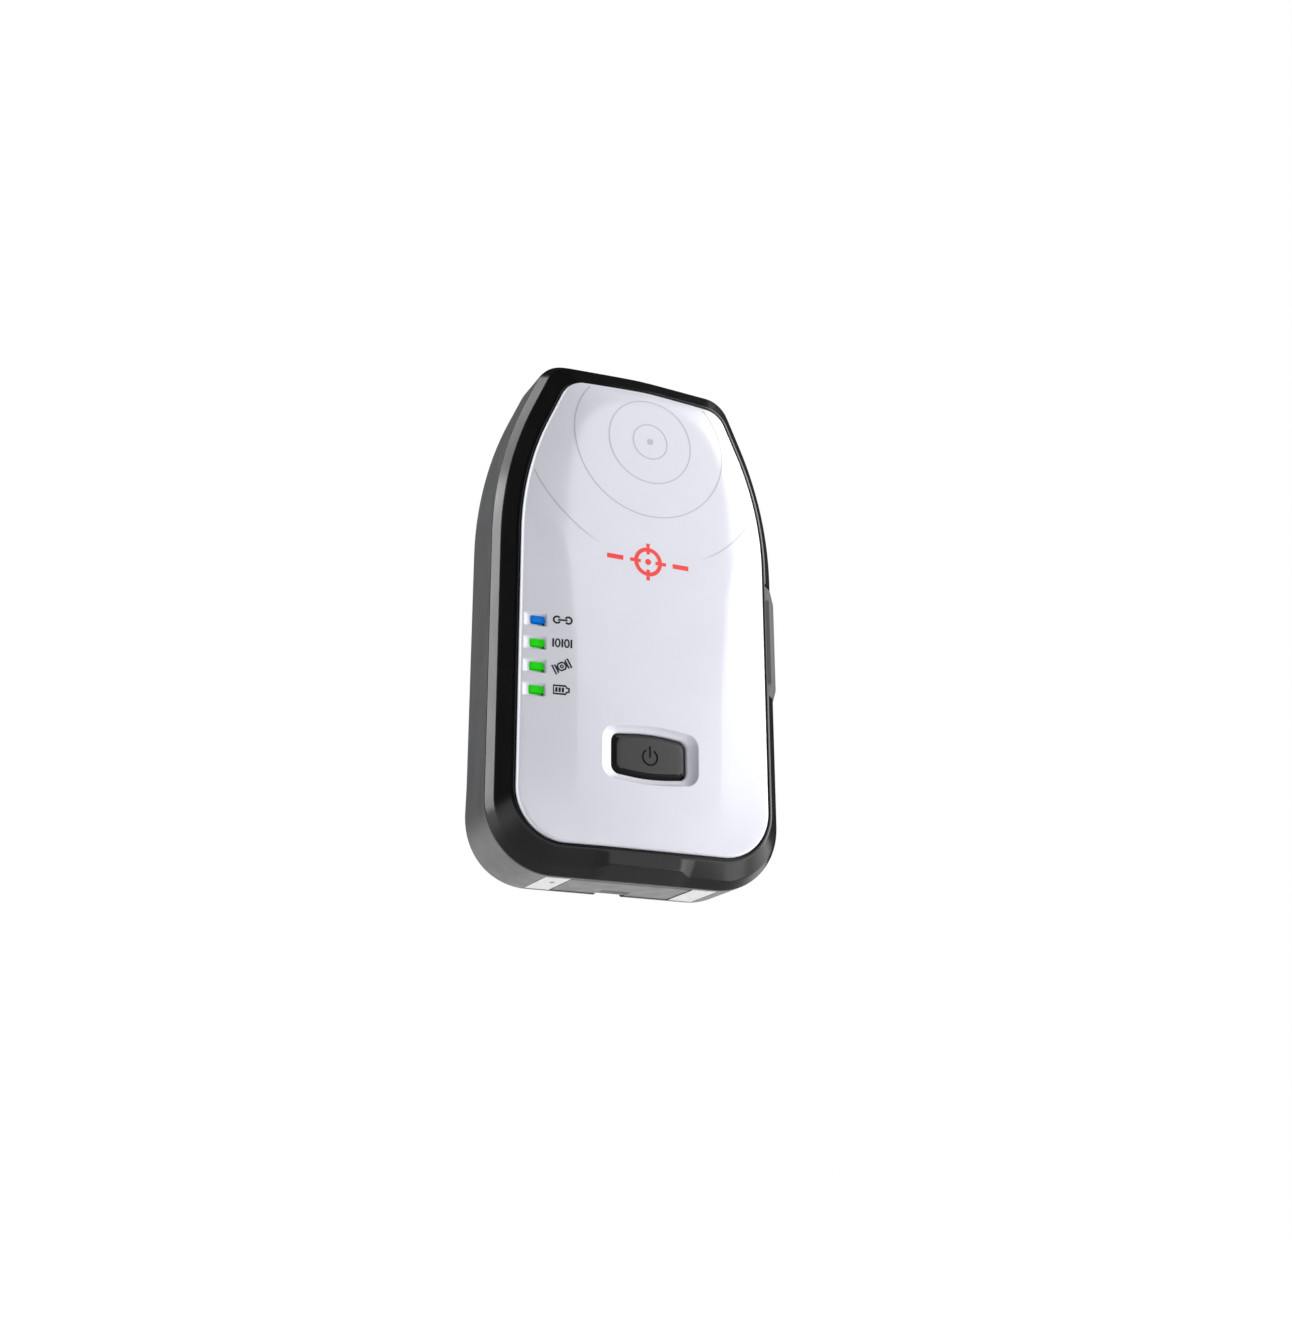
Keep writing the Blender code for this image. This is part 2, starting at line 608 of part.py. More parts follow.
def cover_section(proud, grow=0.0):
    """The cover's section in x, y. grow widens its inner side to cut the pocket that it lies in."""
    hinge_x, hinge_y = COVER_AXIS
    radius = BODY_HALF_WIDTH - hinge_x + COVER_PROUD * proud
    points = []
    for (x, y), (out_x, out_y) in COVER_SKIN:
        points.append((x + out_x * COVER_PROUD * proud, y + out_y * COVER_PROUD * proud))
    for step in range(9):
        angle = math.radians(180 * step / 8)
        points.append((hinge_x + radius * math.cos(angle), hinge_y + radius * math.sin(angle)))
    return points + [(x - grow, y) for x, y in COVER_INSIDE]


def cover_cutter(name):
    """Room for the cover: its inner side and its hinge barrel, open towards the outside."""
    hinge_x, hinge_y = COVER_AXIS
    barrel = BODY_HALF_WIDTH - hinge_x + COVER_PROUD + GAP
    section = [(37.2, -12.5), (60.0, -12.5), (60.0, hinge_y + barrel), (hinge_x, hinge_y + barrel)]
    for step in range(1, 5):
        angle = math.radians(90 + 22.5 * step)
        section.append((hinge_x + barrel * math.cos(angle), hinge_y + barrel * math.sin(angle)))
    section += [(hinge_x - barrel, STRIP_Y - 0.6), (38.1, -7.6), (37.2, -9.9)]
    return prism(name, section, "z", COVER_Z[0] - GAP, COVER_Z[-1] + GAP, None, cutter=True)


def make_port_cover():
    rings = []
    for z, proud in zip(COVER_Z, (0.0, 1.0, 1.0, 0.0)):
        rings.append([(x, y, z) for x, y in cover_section(proud)])
    cover = loft("port_cover", rings, SEAL_RUBBER, sharp_angle=22.0)
    join(cover, box_tool("cover_plug", (39.2, -1.6, PORT_Z - 5.2), (41.2, 3.2, PORT_Z + 5.2), 0.4))
    cut(cover, round_tool("cover_knuckle_bore", (*COVER_AXIS, 50.0), "z", 42.0, 0.8))
    cylinder("port_cover_pin", (*COVER_AXIS, 53.2), "z", 36.2, PIN_RADIUS, SCREW_STEEL)


def make_usb_connector():
    shell = box("usb_connector", (31.0, -0.6, PORT_Z - 4.5), (38.4, 2.6, PORT_Z + 4.5), SHIELD_TIN, 0.7)
    mouth = box_tool("usb_mouth", (34.0, -0.2, PORT_Z - 4.1), (39.0, 2.2, PORT_Z + 4.1), 0.6)
    cut(shell, mouth)
    join(shell, box_tool("usb_tongue", (33.5, 0.65, PORT_Z - 3.1), (37.6, 1.35, PORT_Z + 3.1)))


# ---- battery door and the bottom plates -----------------------------------------------------
def make_battery_door():
    axis_y, axis_z = DOOR_AXIS
    radius = axis_z - 0.15
    section = [(DOOR_BACK, 0.15), (DOOR_BACK, 2.1), (axis_y + radius + 0.3, 2.1)]
    for step in range(11):
        angle = math.radians(20 + 25 * step)
        section.append((axis_y + radius * math.cos(angle), axis_z + radius * math.sin(angle)))
    door = prism("battery_door", section, "x", -DOOR_HALF_WIDTH, DOOR_HALF_WIDTH, HOUSING_GREY)
    notch = box_tool("door_notch", (-NOTCH_HALF_WIDTH, DOOR_BACK - 0.9, -1.0),
                     (NOTCH_HALF_WIDTH, DOOR_BACK + 1.0, 3.0))
    bore = round_tool("door_knuckle_bore", (-30.0, axis_y, axis_z), "x", 60.0, 0.75)
    cut(door, notch, bore)
    cylinder("battery_door_pin", (-19.6, axis_y, axis_z), "x", 39.2, PIN_RADIUS, SCREW_STEEL)

    seal = box("battery_door_seal", (-15.6, 1.6, 2.4), (15.6, 11.4, 3.5), SEAL_RUBBER)
    cut(seal, box_tool("door_seal_middle", (-14.2, 3.0, 1.0), (14.2, 10.0, 5.0)))


def make_bottom_plates():
    inner, outer = PLATE_X
    front, back = PLATE_Y
    left = box("bottom_plate_left", (-outer, front, 0.0), (-inner, back, PLATE_THICKNESS), PLATE_STEEL)
    right = box("bottom_plate_right", (inner, front, 0.0), (outer, back, PLATE_THICKNESS), PLATE_STEEL)
    cut(left, round_tool("plate_dimple", (-20.6, 2.9, -0.5), "z", 0.8, 1.0))
    for number, x in enumerate((21.9, 23.3), 1):
        cut(right, round_tool(f"plate_dot_{number}", (x, 8.2, -0.5), "z", 2.0, 0.4, 12))


# ---- button ---------------------------------------------------------------------------------
def make_power_button():
    width, height = BUTTON_SIZE
    rings = []
    for grow, y in ((-3.2, -13.25), (-1.0, -13.15), (0.0, -12.5), (0.0, -10.4)):
        shape = rounded_rectangle(width + grow, height + grow, 2.5, BUTTON_BOW)
        rings.append(ring_around(shape, BUTTON_Z, y))
    cap = loft("power_button", rings, CAP_GREY)
    flange = rounded_rectangle(width + 2.6, height + 2.4, 3.2, BUTTON_BOW)
    flange_rings = [ring_around(flange, BUTTON_Z, y) for y in (-10.4, -9.4)]
    join(cap, loft("cap_flange", flange_rings, None, cutter=True))
    join(cap, box_tool("cap_stem", (-3.5, -9.9, BUTTON_Z - 2.0), (3.5, -7.6, BUTTON_Z + 2.0)))
    symbol = round_tool("symbol_ring", (0.0, -14.0, BUTTON_Z), "y", 1.0, 2.1)
    cut(symbol, round_tool("symbol_core", (0.0, -15.0, BUTTON_Z), "y", 3.0, 1.6))
    cut(symbol, box_tool("symbol_gap", (-0.9, -15.0, BUTTON_Z), (0.9, -12.0, BUTTON_Z + 4.0)))
    cut(cap, symbol)
    cut(cap, box_tool("symbol_bar", (-0.25, -14.0, BUTTON_Z - 0.3), (0.25, -13.0, BUTTON_Z + 2.6)))

    seal_outer = rounded_rectangle(26.0, 17.0, 4.0)
    seal = loft("button_seal", [ring_around(seal_outer, BUTTON_Z, y) for y in (-8.1, -7.2)], SEAL_RUBBER)
    cut(seal, box_tool("seal_window", (-4.3, -9.0, BUTTON_Z - 2.8), (4.3, -6.5, BUTTON_Z + 2.8)))
    switch = box("tact_switch", (-3.0, -5.2, BUTTON_Z - 3.0), (3.0, -2.8, BUTTON_Z + 3.0), CHIP_BLACK, 0.2)
    join(switch, round_tool("switch_plunger", (0.0, -6.3, BUTTON_Z), "y", 2.0, 1.7))


# ---- status lights --------------------------------------------------------------------------
def make_status_lights():
    width, height = LENS_SIZE
    for number, z in enumerate(LED_Z, 1):
        face_y = EDGE_Y - panel_rise(LED_X, z, PANEL_HALF_WIDTH) + 0.3
        colour = LENS_BLUE if number == 1 else LENS_GREEN
        box(f"led_lens_{number}", (LED_X - width / 2, face_y, z - height / 2),
            (LED_X + width / 2, -8.4, z + height / 2), colour, 0.25)
        box(f"led_chip_{number}", (LED_X - 0.8, -3.6, z - 0.5), (LED_X + 0.8, -2.8, z + 0.5), CHIP_WHITE)
    shroud = box("light_shroud", (-34.6, -9.1, LED_Z[-1] - 2.6), (-28.6, -2.8, LED_Z[0] + 2.6), TRAY_BLACK)
    for number, z in enumerate(LED_Z, 1):
        cut(shroud, box_tool(f"shroud_channel_{number}", (LED_X - 2.3, -10.0, z - 1.35),
                                  (LED_X + 2.3, -2.0, z + 1.35)))


# ---- boards, modules and antenna ------------------------------------------------------------
def make_electronics():
    front, back = BOARD_Y
    board = box("main_board", (-33.4, front, BOARD_Z[0]), (33.4, back, BOARD_Z[1]), BOARD_GREEN)
    for number, (x, z) in enumerate(BOARD_SCREWS, 1):
        cut(board, round_tool(f"board_hole_{number}", (x, -4.0, z), "y", 5.0, BOARD_CLEARANCE))
    modules = {                             # low x, low z, high x, high z, height off the board
        "gnss_module": (-12.0, 66.0, 12.0, 88.0, 2.6),
        "processor_can": (-18.0, 43.0, 2.0, 60.0, 2.2),
        "bluetooth_module": (8.0, 44.0, 21.0, 62.0, 2.0),
    }
    for name, (low_x, low_z, high_x, high_z, height) in modules.items():
        box(name, (low_x, front - GAP - height, low_z), (high_x, front - GAP, high_z), SHIELD_TIN, 0.3)
    cylinder("buzzer", (24.0, front - GAP - 4.0, 31.0), "y", 4.0, 4.5, CHIP_BLACK)

    plane_front = (0.0, -1.5, ANTENNA_Z)
    plate = cylinder("antenna_ground_plane", plane_front, "y", 1.2, GROUND_RADIUS, BOARD_GREEN, 32)
    for number, (x, z) in enumerate(ANTENNA_SCREWS, 1):
        cut(plate, round_tool(f"ground_hole_{number}", (x, -3.0, z), "y", 5.0, BOARD_CLEARANCE))
    stack = {                               # half size in x, half size in z, y range, material
        "antenna_patch_lower": (15.0, 15.0, (-5.8, -1.8), CERAMIC),
        "antenna_patch_upper": (11.0, 11.0, (-10.1, -6.1), CERAMIC),
        "amplifier_can": (8.0, 7.0, (0.0, 2.2), SHIELD_TIN),
    }
    for name, (half_x, half_z, (low_y, high_y), mat) in stack.items():
        box(name, (-half_x, low_y, ANTENNA_Z - half_z), (half_x, high_y, ANTENNA_Z + half_z), mat, 0.3)


def make_coax():
    """The short lead from the antenna's amplifier down to the back of the main board."""
    cylinder("coax_plug_antenna", (6.0, 2.5, 114.5), "y", 1.8, 1.5, BRASS)
    cylinder("coax_plug_board", (15.0, BOARD_Y[1] + GAP, 86.0), "y", 1.8, 1.5, BRASS)
    lead = bpy.data.curves.new("antenna_coax", "CURVE")
    lead.dimensions = "3D"
    lead.bevel_depth = 0.6 * MM
    lead.bevel_resolution = 1
    lead.use_fill_caps = True
    spline = lead.splines.new("POLY")
    begin = Vector((7.9, 3.4, 114.0))
    finish = Vector((15.0, 0.3, 87.9))
    count = 13
    spline.points.add(count - 1)
    for i in range(count):
        t = i / (count - 1)
        x = begin.x + (finish.x - begin.x) * smoothstep(t * 1.1)
        y = begin.y + (finish.y - begin.y) * smoothstep(t * 1.1)
        z = begin.z + (finish.z - begin.z) * t
        spline.points[i].co = (x * MM, y * MM, z * MM, 1.0)
    lead.materials.append(CHIP_BLACK)
    PARTS.objects.link(bpy.data.objects.new("antenna_coax", lead))


# ---- battery --------------------------------------------------------------------------------
def make_battery():
    box("battery_pack", (-16.3, 2.6, 5.6), (16.3, 12.4, 71.5), BATTERY_BLUE, 1.2)
    tray = box("battery_tray", (-18.2, 1.3, 4.9), (18.2, 13.3, 76.0), TRAY_BLACK)
    cut(tray, box_tool("tray_hollow", (-17.0, 2.2, 3.0), (17.0, 12.8, 74.8)))
    for number, x in enumerate((-5.0, 0.0, 5.0), 1):
        box(f"battery_contact_{number}", (x - 1.0, 6.0, 71.8), (x + 1.0, 9.0, 74.5), BRASS, 0.3)


# ---- fasteners and small pieces -------------------------------------------------------------
CASE_SCREW = {"length": 8.0, "shank": 1.05, "head": 2.05, "head_height": 1.7}
SMALL_SCREW = {"length": 5.0, "shank": 0.8, "head": 1.7, "head_height": 1.2}


def screw(name, place, size, head_at_back):
    """A pan-head screw along Y; place is the centre of the face that its head sits on."""
    shank_length = size["length"]
    shank = size["shank"]
    head = size["head"]
    head_height = size["head_height"]
    if head_at_back:
        profile = [(0.0, -shank_length), (shank, -shank_length), (shank, 0.0), (head, 0.0),
                   (head, head_height * 0.6), (head * 0.7, head_height), (0.0, head_height)]
    else:
        profile = [(0.0, -head_height), (head * 0.7, -head_height), (head, -head_height * 0.6),
                   (head, 0.0), (shank, 0.0), (shank, shank_length), (0.0, shank_length)]
    turned(name, place, profile, SCREW_STEEL, 10)


def make_screws():
    for number, (x, z) in enumerate(CASE_SCREWS, 1):
        screw(f"case_screw_{number}", (x, 1.3, z), CASE_SCREW, True)
    for number, (x, z) in enumerate(BOARD_SCREWS, 1):
        screw(f"board_screw_{number}", (x, BOARD_Y[0] - GAP, z), SMALL_SCREW, False)
    for number, (x, z) in enumerate(ANTENNA_SCREWS, 1):
        screw(f"antenna_screw_{number}", (x, -1.8, z), SMALL_SCREW, False)


def make_small_pieces():
    groove = inboard(2.05)
    cord = []
    for step in range(6):
        angle = 2 * math.pi * step / 6
        ring = offset(groove, 0.42 * math.cos(angle))
        cord.append(ring_at(ring, STRIP_Y - 0.42 + 0.42 * math.sin(angle)))
    loft("housing_seal", cord, SEAL_RUBBER, closed=True, sharp_angle=70.0)

    insert = cylinder("thread_insert", (0.0, 8.0, INSERT_Z), "y", INSERT_LENGTH, INSERT_RADIUS, BRASS, 20)
    cut(insert, round_tool("insert_thread_bore", (0.0, 7.0, INSERT_Z), "y", 12.0, INSERT_BORE, 20))
    cylinder("vent_plug", (VENT[0], 13.2, VENT[1]), "y", 2.5, VENT_RADIUS, TRAY_BLACK)
    box("rear_label", (LABEL_LOW[0], 15.5, LABEL_LOW[1]), (LABEL_HIGH[0], 15.9, LABEL_HIGH[1]), LABEL_GREY)


make_front_panel()
make_front_frame()
make_rear_housing()
make_port_cover()
make_usb_connector()
make_battery_door()
make_bottom_plates()
make_power_button()
make_status_lights()
make_electronics()
make_coax()
make_battery()
make_screws()
make_small_pieces()
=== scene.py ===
"""Looks of the pocket GNSS receiver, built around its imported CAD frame.

The unit stands along +Z with its front panel facing -Y. Shapes are worked out in millimetres and
become metres when they reach a mesh. Sizes that the CAD model fixes come from the frame.
"""

import json
import math

import bmesh
import bpy
import numpy as np
from mathutils import Matrix, Vector
from mathutils.geometry import delaunay_2d_cdt


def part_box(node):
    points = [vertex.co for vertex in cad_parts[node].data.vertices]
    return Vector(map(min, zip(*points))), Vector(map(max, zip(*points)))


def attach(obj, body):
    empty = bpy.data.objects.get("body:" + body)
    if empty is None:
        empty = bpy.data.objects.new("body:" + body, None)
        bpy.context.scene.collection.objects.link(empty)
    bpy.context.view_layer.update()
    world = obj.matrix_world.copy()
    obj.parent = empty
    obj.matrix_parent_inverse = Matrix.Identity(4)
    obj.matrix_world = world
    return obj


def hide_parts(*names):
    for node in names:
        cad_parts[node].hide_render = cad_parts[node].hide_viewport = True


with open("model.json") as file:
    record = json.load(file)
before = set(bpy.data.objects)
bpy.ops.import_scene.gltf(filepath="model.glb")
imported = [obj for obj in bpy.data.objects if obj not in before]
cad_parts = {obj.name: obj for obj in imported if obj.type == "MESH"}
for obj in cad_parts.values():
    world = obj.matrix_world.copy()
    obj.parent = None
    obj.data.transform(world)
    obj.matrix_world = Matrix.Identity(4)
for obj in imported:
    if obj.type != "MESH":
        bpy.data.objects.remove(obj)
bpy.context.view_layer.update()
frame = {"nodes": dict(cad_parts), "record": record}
MM = 0.001


# ---- sizes from the frame (millimetres) ----
def box_mm(node):
    low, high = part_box(node)
    return low / MM, high / MM


PANEL_LOW, PANEL_HIGH = box_mm("front_panel")
FRAME_LOW, FRAME_HIGH = box_mm("front_frame")
HOUSING_LOW, HOUSING_HIGH = box_mm("rear_housing")
COVER_LOW, COVER_HIGH = box_mm("port_cover")
BUTTON_LOW, BUTTON_HIGH = box_mm("power_button")
DOOR_LOW, DOOR_HIGH = box_mm("battery_door")

PANEL_FOOT = PANEL_LOW.z
PANEL_HALF_WIDTH = PANEL_HIGH.x
PANEL_CROWN = PANEL_HIGH.z + 0.1
PANEL_THICKNESS = 1.8
EDGE_Y = FRAME_LOW.y + 0.05         # y of the plane that holds the front panel's edge
STRIP_Y = FRAME_HIGH.y              # back edge of the frame's side strip
SLOPE_Y = EDGE_Y + 3.85             # where the frame's front slope ends
RIM_Y = HOUSING_LOW.y               # front rim of the rear housing
BODY_HALF_WIDTH = -HOUSING_LOW.x
BODY_CROWN = HOUSING_HIGH.z + 0.1
BODY_BACK = HOUSING_HIGH.y
FLOOR_Y = BODY_BACK - 2.3           # inner face of the housing's back wall
WALL = 2.4
GAP = 0.3
LIP_FLANK = (9.6, 14.5)             # the frame's thumb lip is whole to the first x, gone at the second


def node_centre(node):
    low, high = box_mm(node)
    return (low + high) / 2


BUTTON_Z = (BUTTON_LOW.z + BUTTON_HIGH.z) / 2
BUTTON_SIZE = (21.6, 10.9)
BUTTON_BOW = 0.6
DISH_SIZE = (27.4, 14.0)
DISH_BOW = 0.8
LEDS = [node_centre(f"led_lens_{number}") for number in range(1, 5)]


# ---- maths of outlines ----
def smoothstep(value):
    value = np.clip(value, 0.0, 1.0)
    return value * value * (3 - 2 * value)


def fillet(previous, corner, following, radius, steps):
    """The arc that rounds a corner, as steps + 1 points."""
    into = (Vector(previous) - Vector(corner)).normalized()
    out = (Vector(following) - Vector(corner)).normalized()
    half = into.angle(out) * 0.5
    tangent = radius / math.tan(half)
    centre = Vector(corner) + (into + out).normalized() * (radius / math.sin(half))
    start = Vector(corner) + into * tangent - centre
    end = Vector(corner) + out * tangent - centre
    sweep = start.angle_signed(end)
    points = []
    for i in range(steps + 1):
        arm = start.copy()
        arm.rotate(Matrix.Rotation(-sweep * i / steps, 2))
        points.append(centre + arm)
    return points


def between(first, last, steps):
    """The points strictly between two points that cut the line into so many steps."""
    return [Vector(first).lerp(Vector(last), i / steps) for i in range(1, steps)]


def outline(foot, shoulder, top_corner, crown_z):
    """Closed outline in x, z from bottom centre up the right side and down the left.

    foot, shoulder and top_corner are (x, z, radius). Every outline gets the same number of points
    on every stretch, so that any two of them can be skinned together.
    """
    inner, outer = LIP_FLANK
    foot_arc = fillet((0.0, foot[1]), foot[:2], shoulder[:2], foot[2], 18)
    shoulder_arc = fillet(foot[:2], shoulder[:2], top_corner[:2], shoulder[2], 14)
    top_arc = fillet(shoulder[:2], top_corner[:2], (0.0, crown_z), top_corner[2], 12)
    half = [Vector((inner * i / 4, foot[1])) for i in range(5)]
    half += [Vector((inner + (outer - inner) * i / 10, foot[1])) for i in range(1, 11)]
    half += between(half[-1], foot_arc[0], 3)
    half += foot_arc
    half += between(foot_arc[-1], shoulder_arc[0], 12)
    half += shoulder_arc
    half += between(shoulder_arc[-1], top_arc[0], 4)
    half += top_arc
    slope = (crown_z - top_corner[1]) / top_corner[0]
    reach = top_arc[-1].x
    for i in range(1, 9):
        x = reach * (1 - i / 8)
        half.append(Vector((x, crown_z - math.hypot(slope * x, 0.2))))
    mirrored = [Vector((-point.x, point.y)) for point in half[-2:0:-1]]
    return half + mirrored


def offset(points, distance):
    """Moves a closed anticlockwise outline outwards by a distance."""
    moved = []
    for i, point in enumerate(points):
        along = (points[(i + 1) % len(points)] - points[i - 1]).normalized()
        moved.append(point + Vector((along.y, -along.x)) * distance)
    return moved


PANEL_EDGE = outline((PANEL_HALF_WIDTH, PANEL_FOOT, 13.6), (PANEL_HALF_WIDTH, 108.9, 84.0),
                     (23.25, 138.0, 7.0), PANEL_CROWN)
SLOPE_EDGE = outline((40.8, 2.1, 17.0), (40.8, 111.04, 99.0), (26.1, 144.1, 8.0), 145.4)
BODY_EDGE = outline((BODY_HALF_WIDTH, 0.0, 19.0), (BODY_HALF_WIDTH, 112.6, 102.0),
                    (27.75, 145.5, 9.0), BODY_CROWN)
BACK_EDGE = outline((34.6, 2.0, 13.0), (34.6, 108.0, 90.0), (21.4, 136.4, 6.0), 137.6)


def rounded_rectangle(width, height, radius, bow=0.0, steps=8):
    """An outline about the origin whose top and bottom bulge by bow at the middle."""
    half_w, half_h = width / 2, height / 2
    quarter = fillet((half_w, 0.0), (half_w, half_h), (0.0, half_h), radius, steps)
    start = quarter[-1]
    for i in range(1, 6):
        part = i / 6
        quarter.append(Vector((start.x * (1 - part), start.y + bow * math.sin(part * math.pi / 2))))
    upper = quarter + [Vector((0.0, half_h + bow))]
    upper += [Vector((-point.x, point.y)) for point in reversed(quarter)]
    return upper + [Vector((-point.x, -point.y)) for point in upper]


def rectangle_loop(low_x, high_x, low_z, high_z, radius, steps=3):
    """A rectangle with round corners, anticlockwise in x, z."""
    corners = [(high_x, low_z), (high_x, high_z), (low_x, high_z), (low_x, low_z)]
    points = []
    for i, corner in enumerate(corners):
        points += fillet(corners[i - 1], corner, corners[(i + 1) % 4], radius, steps)
    return points


def polar(centre, radius, angle):
    return Vector((centre[0] + radius * math.cos(angle), centre[1] + radius * math.sin(angle)))


def circle(centre, radius, steps=32):
    return [polar(centre, radius, 2 * math.pi * i / steps) for i in range(steps)]


def arc(centre, radius, start, end, steps):
    """Part of a circle between two angles in degrees."""
    angles = [math.radians(start + (end - start) * i / steps) for i in range(steps + 1)]
    return [polar(centre, radius, angle) for angle in angles]


def ring_at(points, y):
    """An outline in x, z as a ring of points at a depth y."""
    return [(point.x, y, point.y) for point in points]


def shifted(points, centre_z):
    return [Vector((point.x, point.y + centre_z)) for point in points]


def inside(x, z, loop):
    """Which of the points lie inside a closed loop."""
    result = np.zeros(len(x), bool)
    ends = np.array([tuple(point) for point in loop])
    for (x1, z1), (x2, z2) in zip(ends, np.roll(ends, -1, axis=0)):
        crosses = (z1 > z) != (z2 > z)
        at = (x2 - x1) * (z - z1) / np.where(z2 == z1, 1.0, z2 - z1) + x1
        result ^= crosses & (x < at)
    return result


def distance_to(x, z, line, closed=True):
    """Each point's distance to a line of points."""
    ends = np.array([tuple(point) for point in line])
    starts, stops = (ends, np.roll(ends, -1, axis=0)) if closed else (ends[:-1], ends[1:])
    best = np.full(len(x), np.inf)
    for (x1, z1), (x2, z2) in zip(starts, stops):
        run = (x2 - x1) ** 2 + (z2 - z1) ** 2
        share = np.clip(((x - x1) * (x2 - x1) + (z - z1) * (z2 - z1)) / max(run, 1e-12), 0, 1)
        best = np.minimum(best, np.hypot(x - x1 - share * (x2 - x1), z - z1 - share * (z2 - z1)))
    return best


# ---- the front panel's surface ----
EDGE_RISE = 0.55                    # how far the panel's edge stands in front of its edge plane
CREASE_SOFT = 0.45                  # half-width over which the creases are softened
RIM_REACH = 6.0                     # how far in from the edge the face rolls down
RIM_HEIGHT = 2.6                    # how high that roll could climb
FLANK_TOP = 141.0
FLANK = [point for point in PANEL_EDGE[:len(PANEL_EDGE) // 2] if 25.0 < point.y < 130.0]
FLANK_Z = [point.y for point in FLANK] + [FLANK_TOP]
FLANK_X = [point.x for point in FLANK]
FLANK_SLOPE = (FLANK_X[-1] - FLANK_X[-2]) / (FLANK_Z[-2] - FLANK_Z[-3])
FLANK_X.append(FLANK_X[-1] + FLANK_SLOPE * (FLANK_Z[-1] - FLANK_Z[-2]))


def crease_x(z):
    """Half-width of the panel's raised centre; it flares out to the edge below the antenna."""
    height = z - PANEL_FOOT
    flare = np.clip((height - 66.0) / 27.0, 0.0, 1.0)
    return 20.5 + np.minimum(height, 66.0) / 66.0 + 12.5 * flare ** 2.2


def plain_rise(x, z):
    """How far the panel stands in front of its edge plane, before its rim is rounded down."""
    height = z - PANEL_FOOT
    edge = np.interp(z, FLANK_Z, FLANK_X)
    upper = smoothstep((height - 55.0) / 38.0)
    centre = 3.2 + 1.85 * smoothstep((height - 20.0) / 95.0)
    centre *= 0.3 + 0.7 * smoothstep((height + 8.0) / 34.0)
    centre *= 1.0 - 0.78 * np.maximum((z - 118.0) / 21.4, 0.0) ** 2.5
    crease = np.minimum(crease_x(z), edge * 0.97)
    side = np.minimum(np.abs(x), crease)
    low_drop = 0.5 * (side / crease) ** 2
    high_drop = (centre - EDGE_RISE) * (side / edge) ** 2.5
    rise = centre - low_drop * (1 - upper) - high_drop * upper
    beyond = np.clip((np.abs(x) - crease) / (edge - crease), 0.0, 1.0)
    return rise + (EDGE_RISE - rise) * beyond


def panel_y(x, z):
    """y of the panel's face, with a soft crease and a rim that rolls down to its edge."""
    x = np.asarray(x, float)
    z = np.asarray(z, float)
    beside = plain_rise(x - CREASE_SOFT, z) + plain_rise(x + CREASE_SOFT, z)
    rise = 0.5 * plain_rise(x, z) + 0.25 * beside
    inset = np.where(inside(x, z, PANEL_EDGE), distance_to(x, z, PANEL_EDGE), 0.0)
    rim = RIM_HEIGHT * (1 - (1 - np.clip(inset / RIM_REACH, 0, 1)) ** 2)
    gain = rise - EDGE_RISE
    lower_of_both = 0.5 * (gain + rim - np.sqrt((gain - rim) ** 2 + 0.06))
    return EDGE_Y - EDGE_RISE - lower_of_both


# ---- mesh helpers ----
def add_verts(bm, ring):
    return [bm.verts.new(Vector(point) * MM) for point in ring]


def skin(bm, first, second):
    for i in range(len(first)):
        j = (i + 1) % len(first)
        bm.faces.new((first[i], first[j], second[j], second[i]))


def skin_rings(bm, rings, closed=False):
    """Skins a row of rings of points and returns their vertices."""
    loops = [add_verts(bm, ring) for ring in rings]
    for first, second in zip(loops, loops[1:]):
        skin(bm, first, second)
    if closed:
        skin(bm, loops[-1], loops[0])
    return loops


def extend(bm, last, rings):
    """Skins on from a ring of vertices through rings of points, and returns the last vertices."""
    for ring in rings:
        made = add_verts(bm, ring)
        skin(bm, last, made)
        last = made
    return last


def rolled(start, start_y, end, drop, steps=4):
    """Rings that round an edge from a loop lying on a surface to a loop that its wall goes down."""
    rings = []
    for step in range(1, steps + 1):
        turn = step / steps * math.pi / 2
        ring = []
        for a, b, y in zip(start, end, start_y):
            spot = a.lerp(b, math.sin(turn))
            ring.append((spot.x, y + drop * (1 - math.cos(turn)), spot.y))
        rings.append(ring)
    return rings


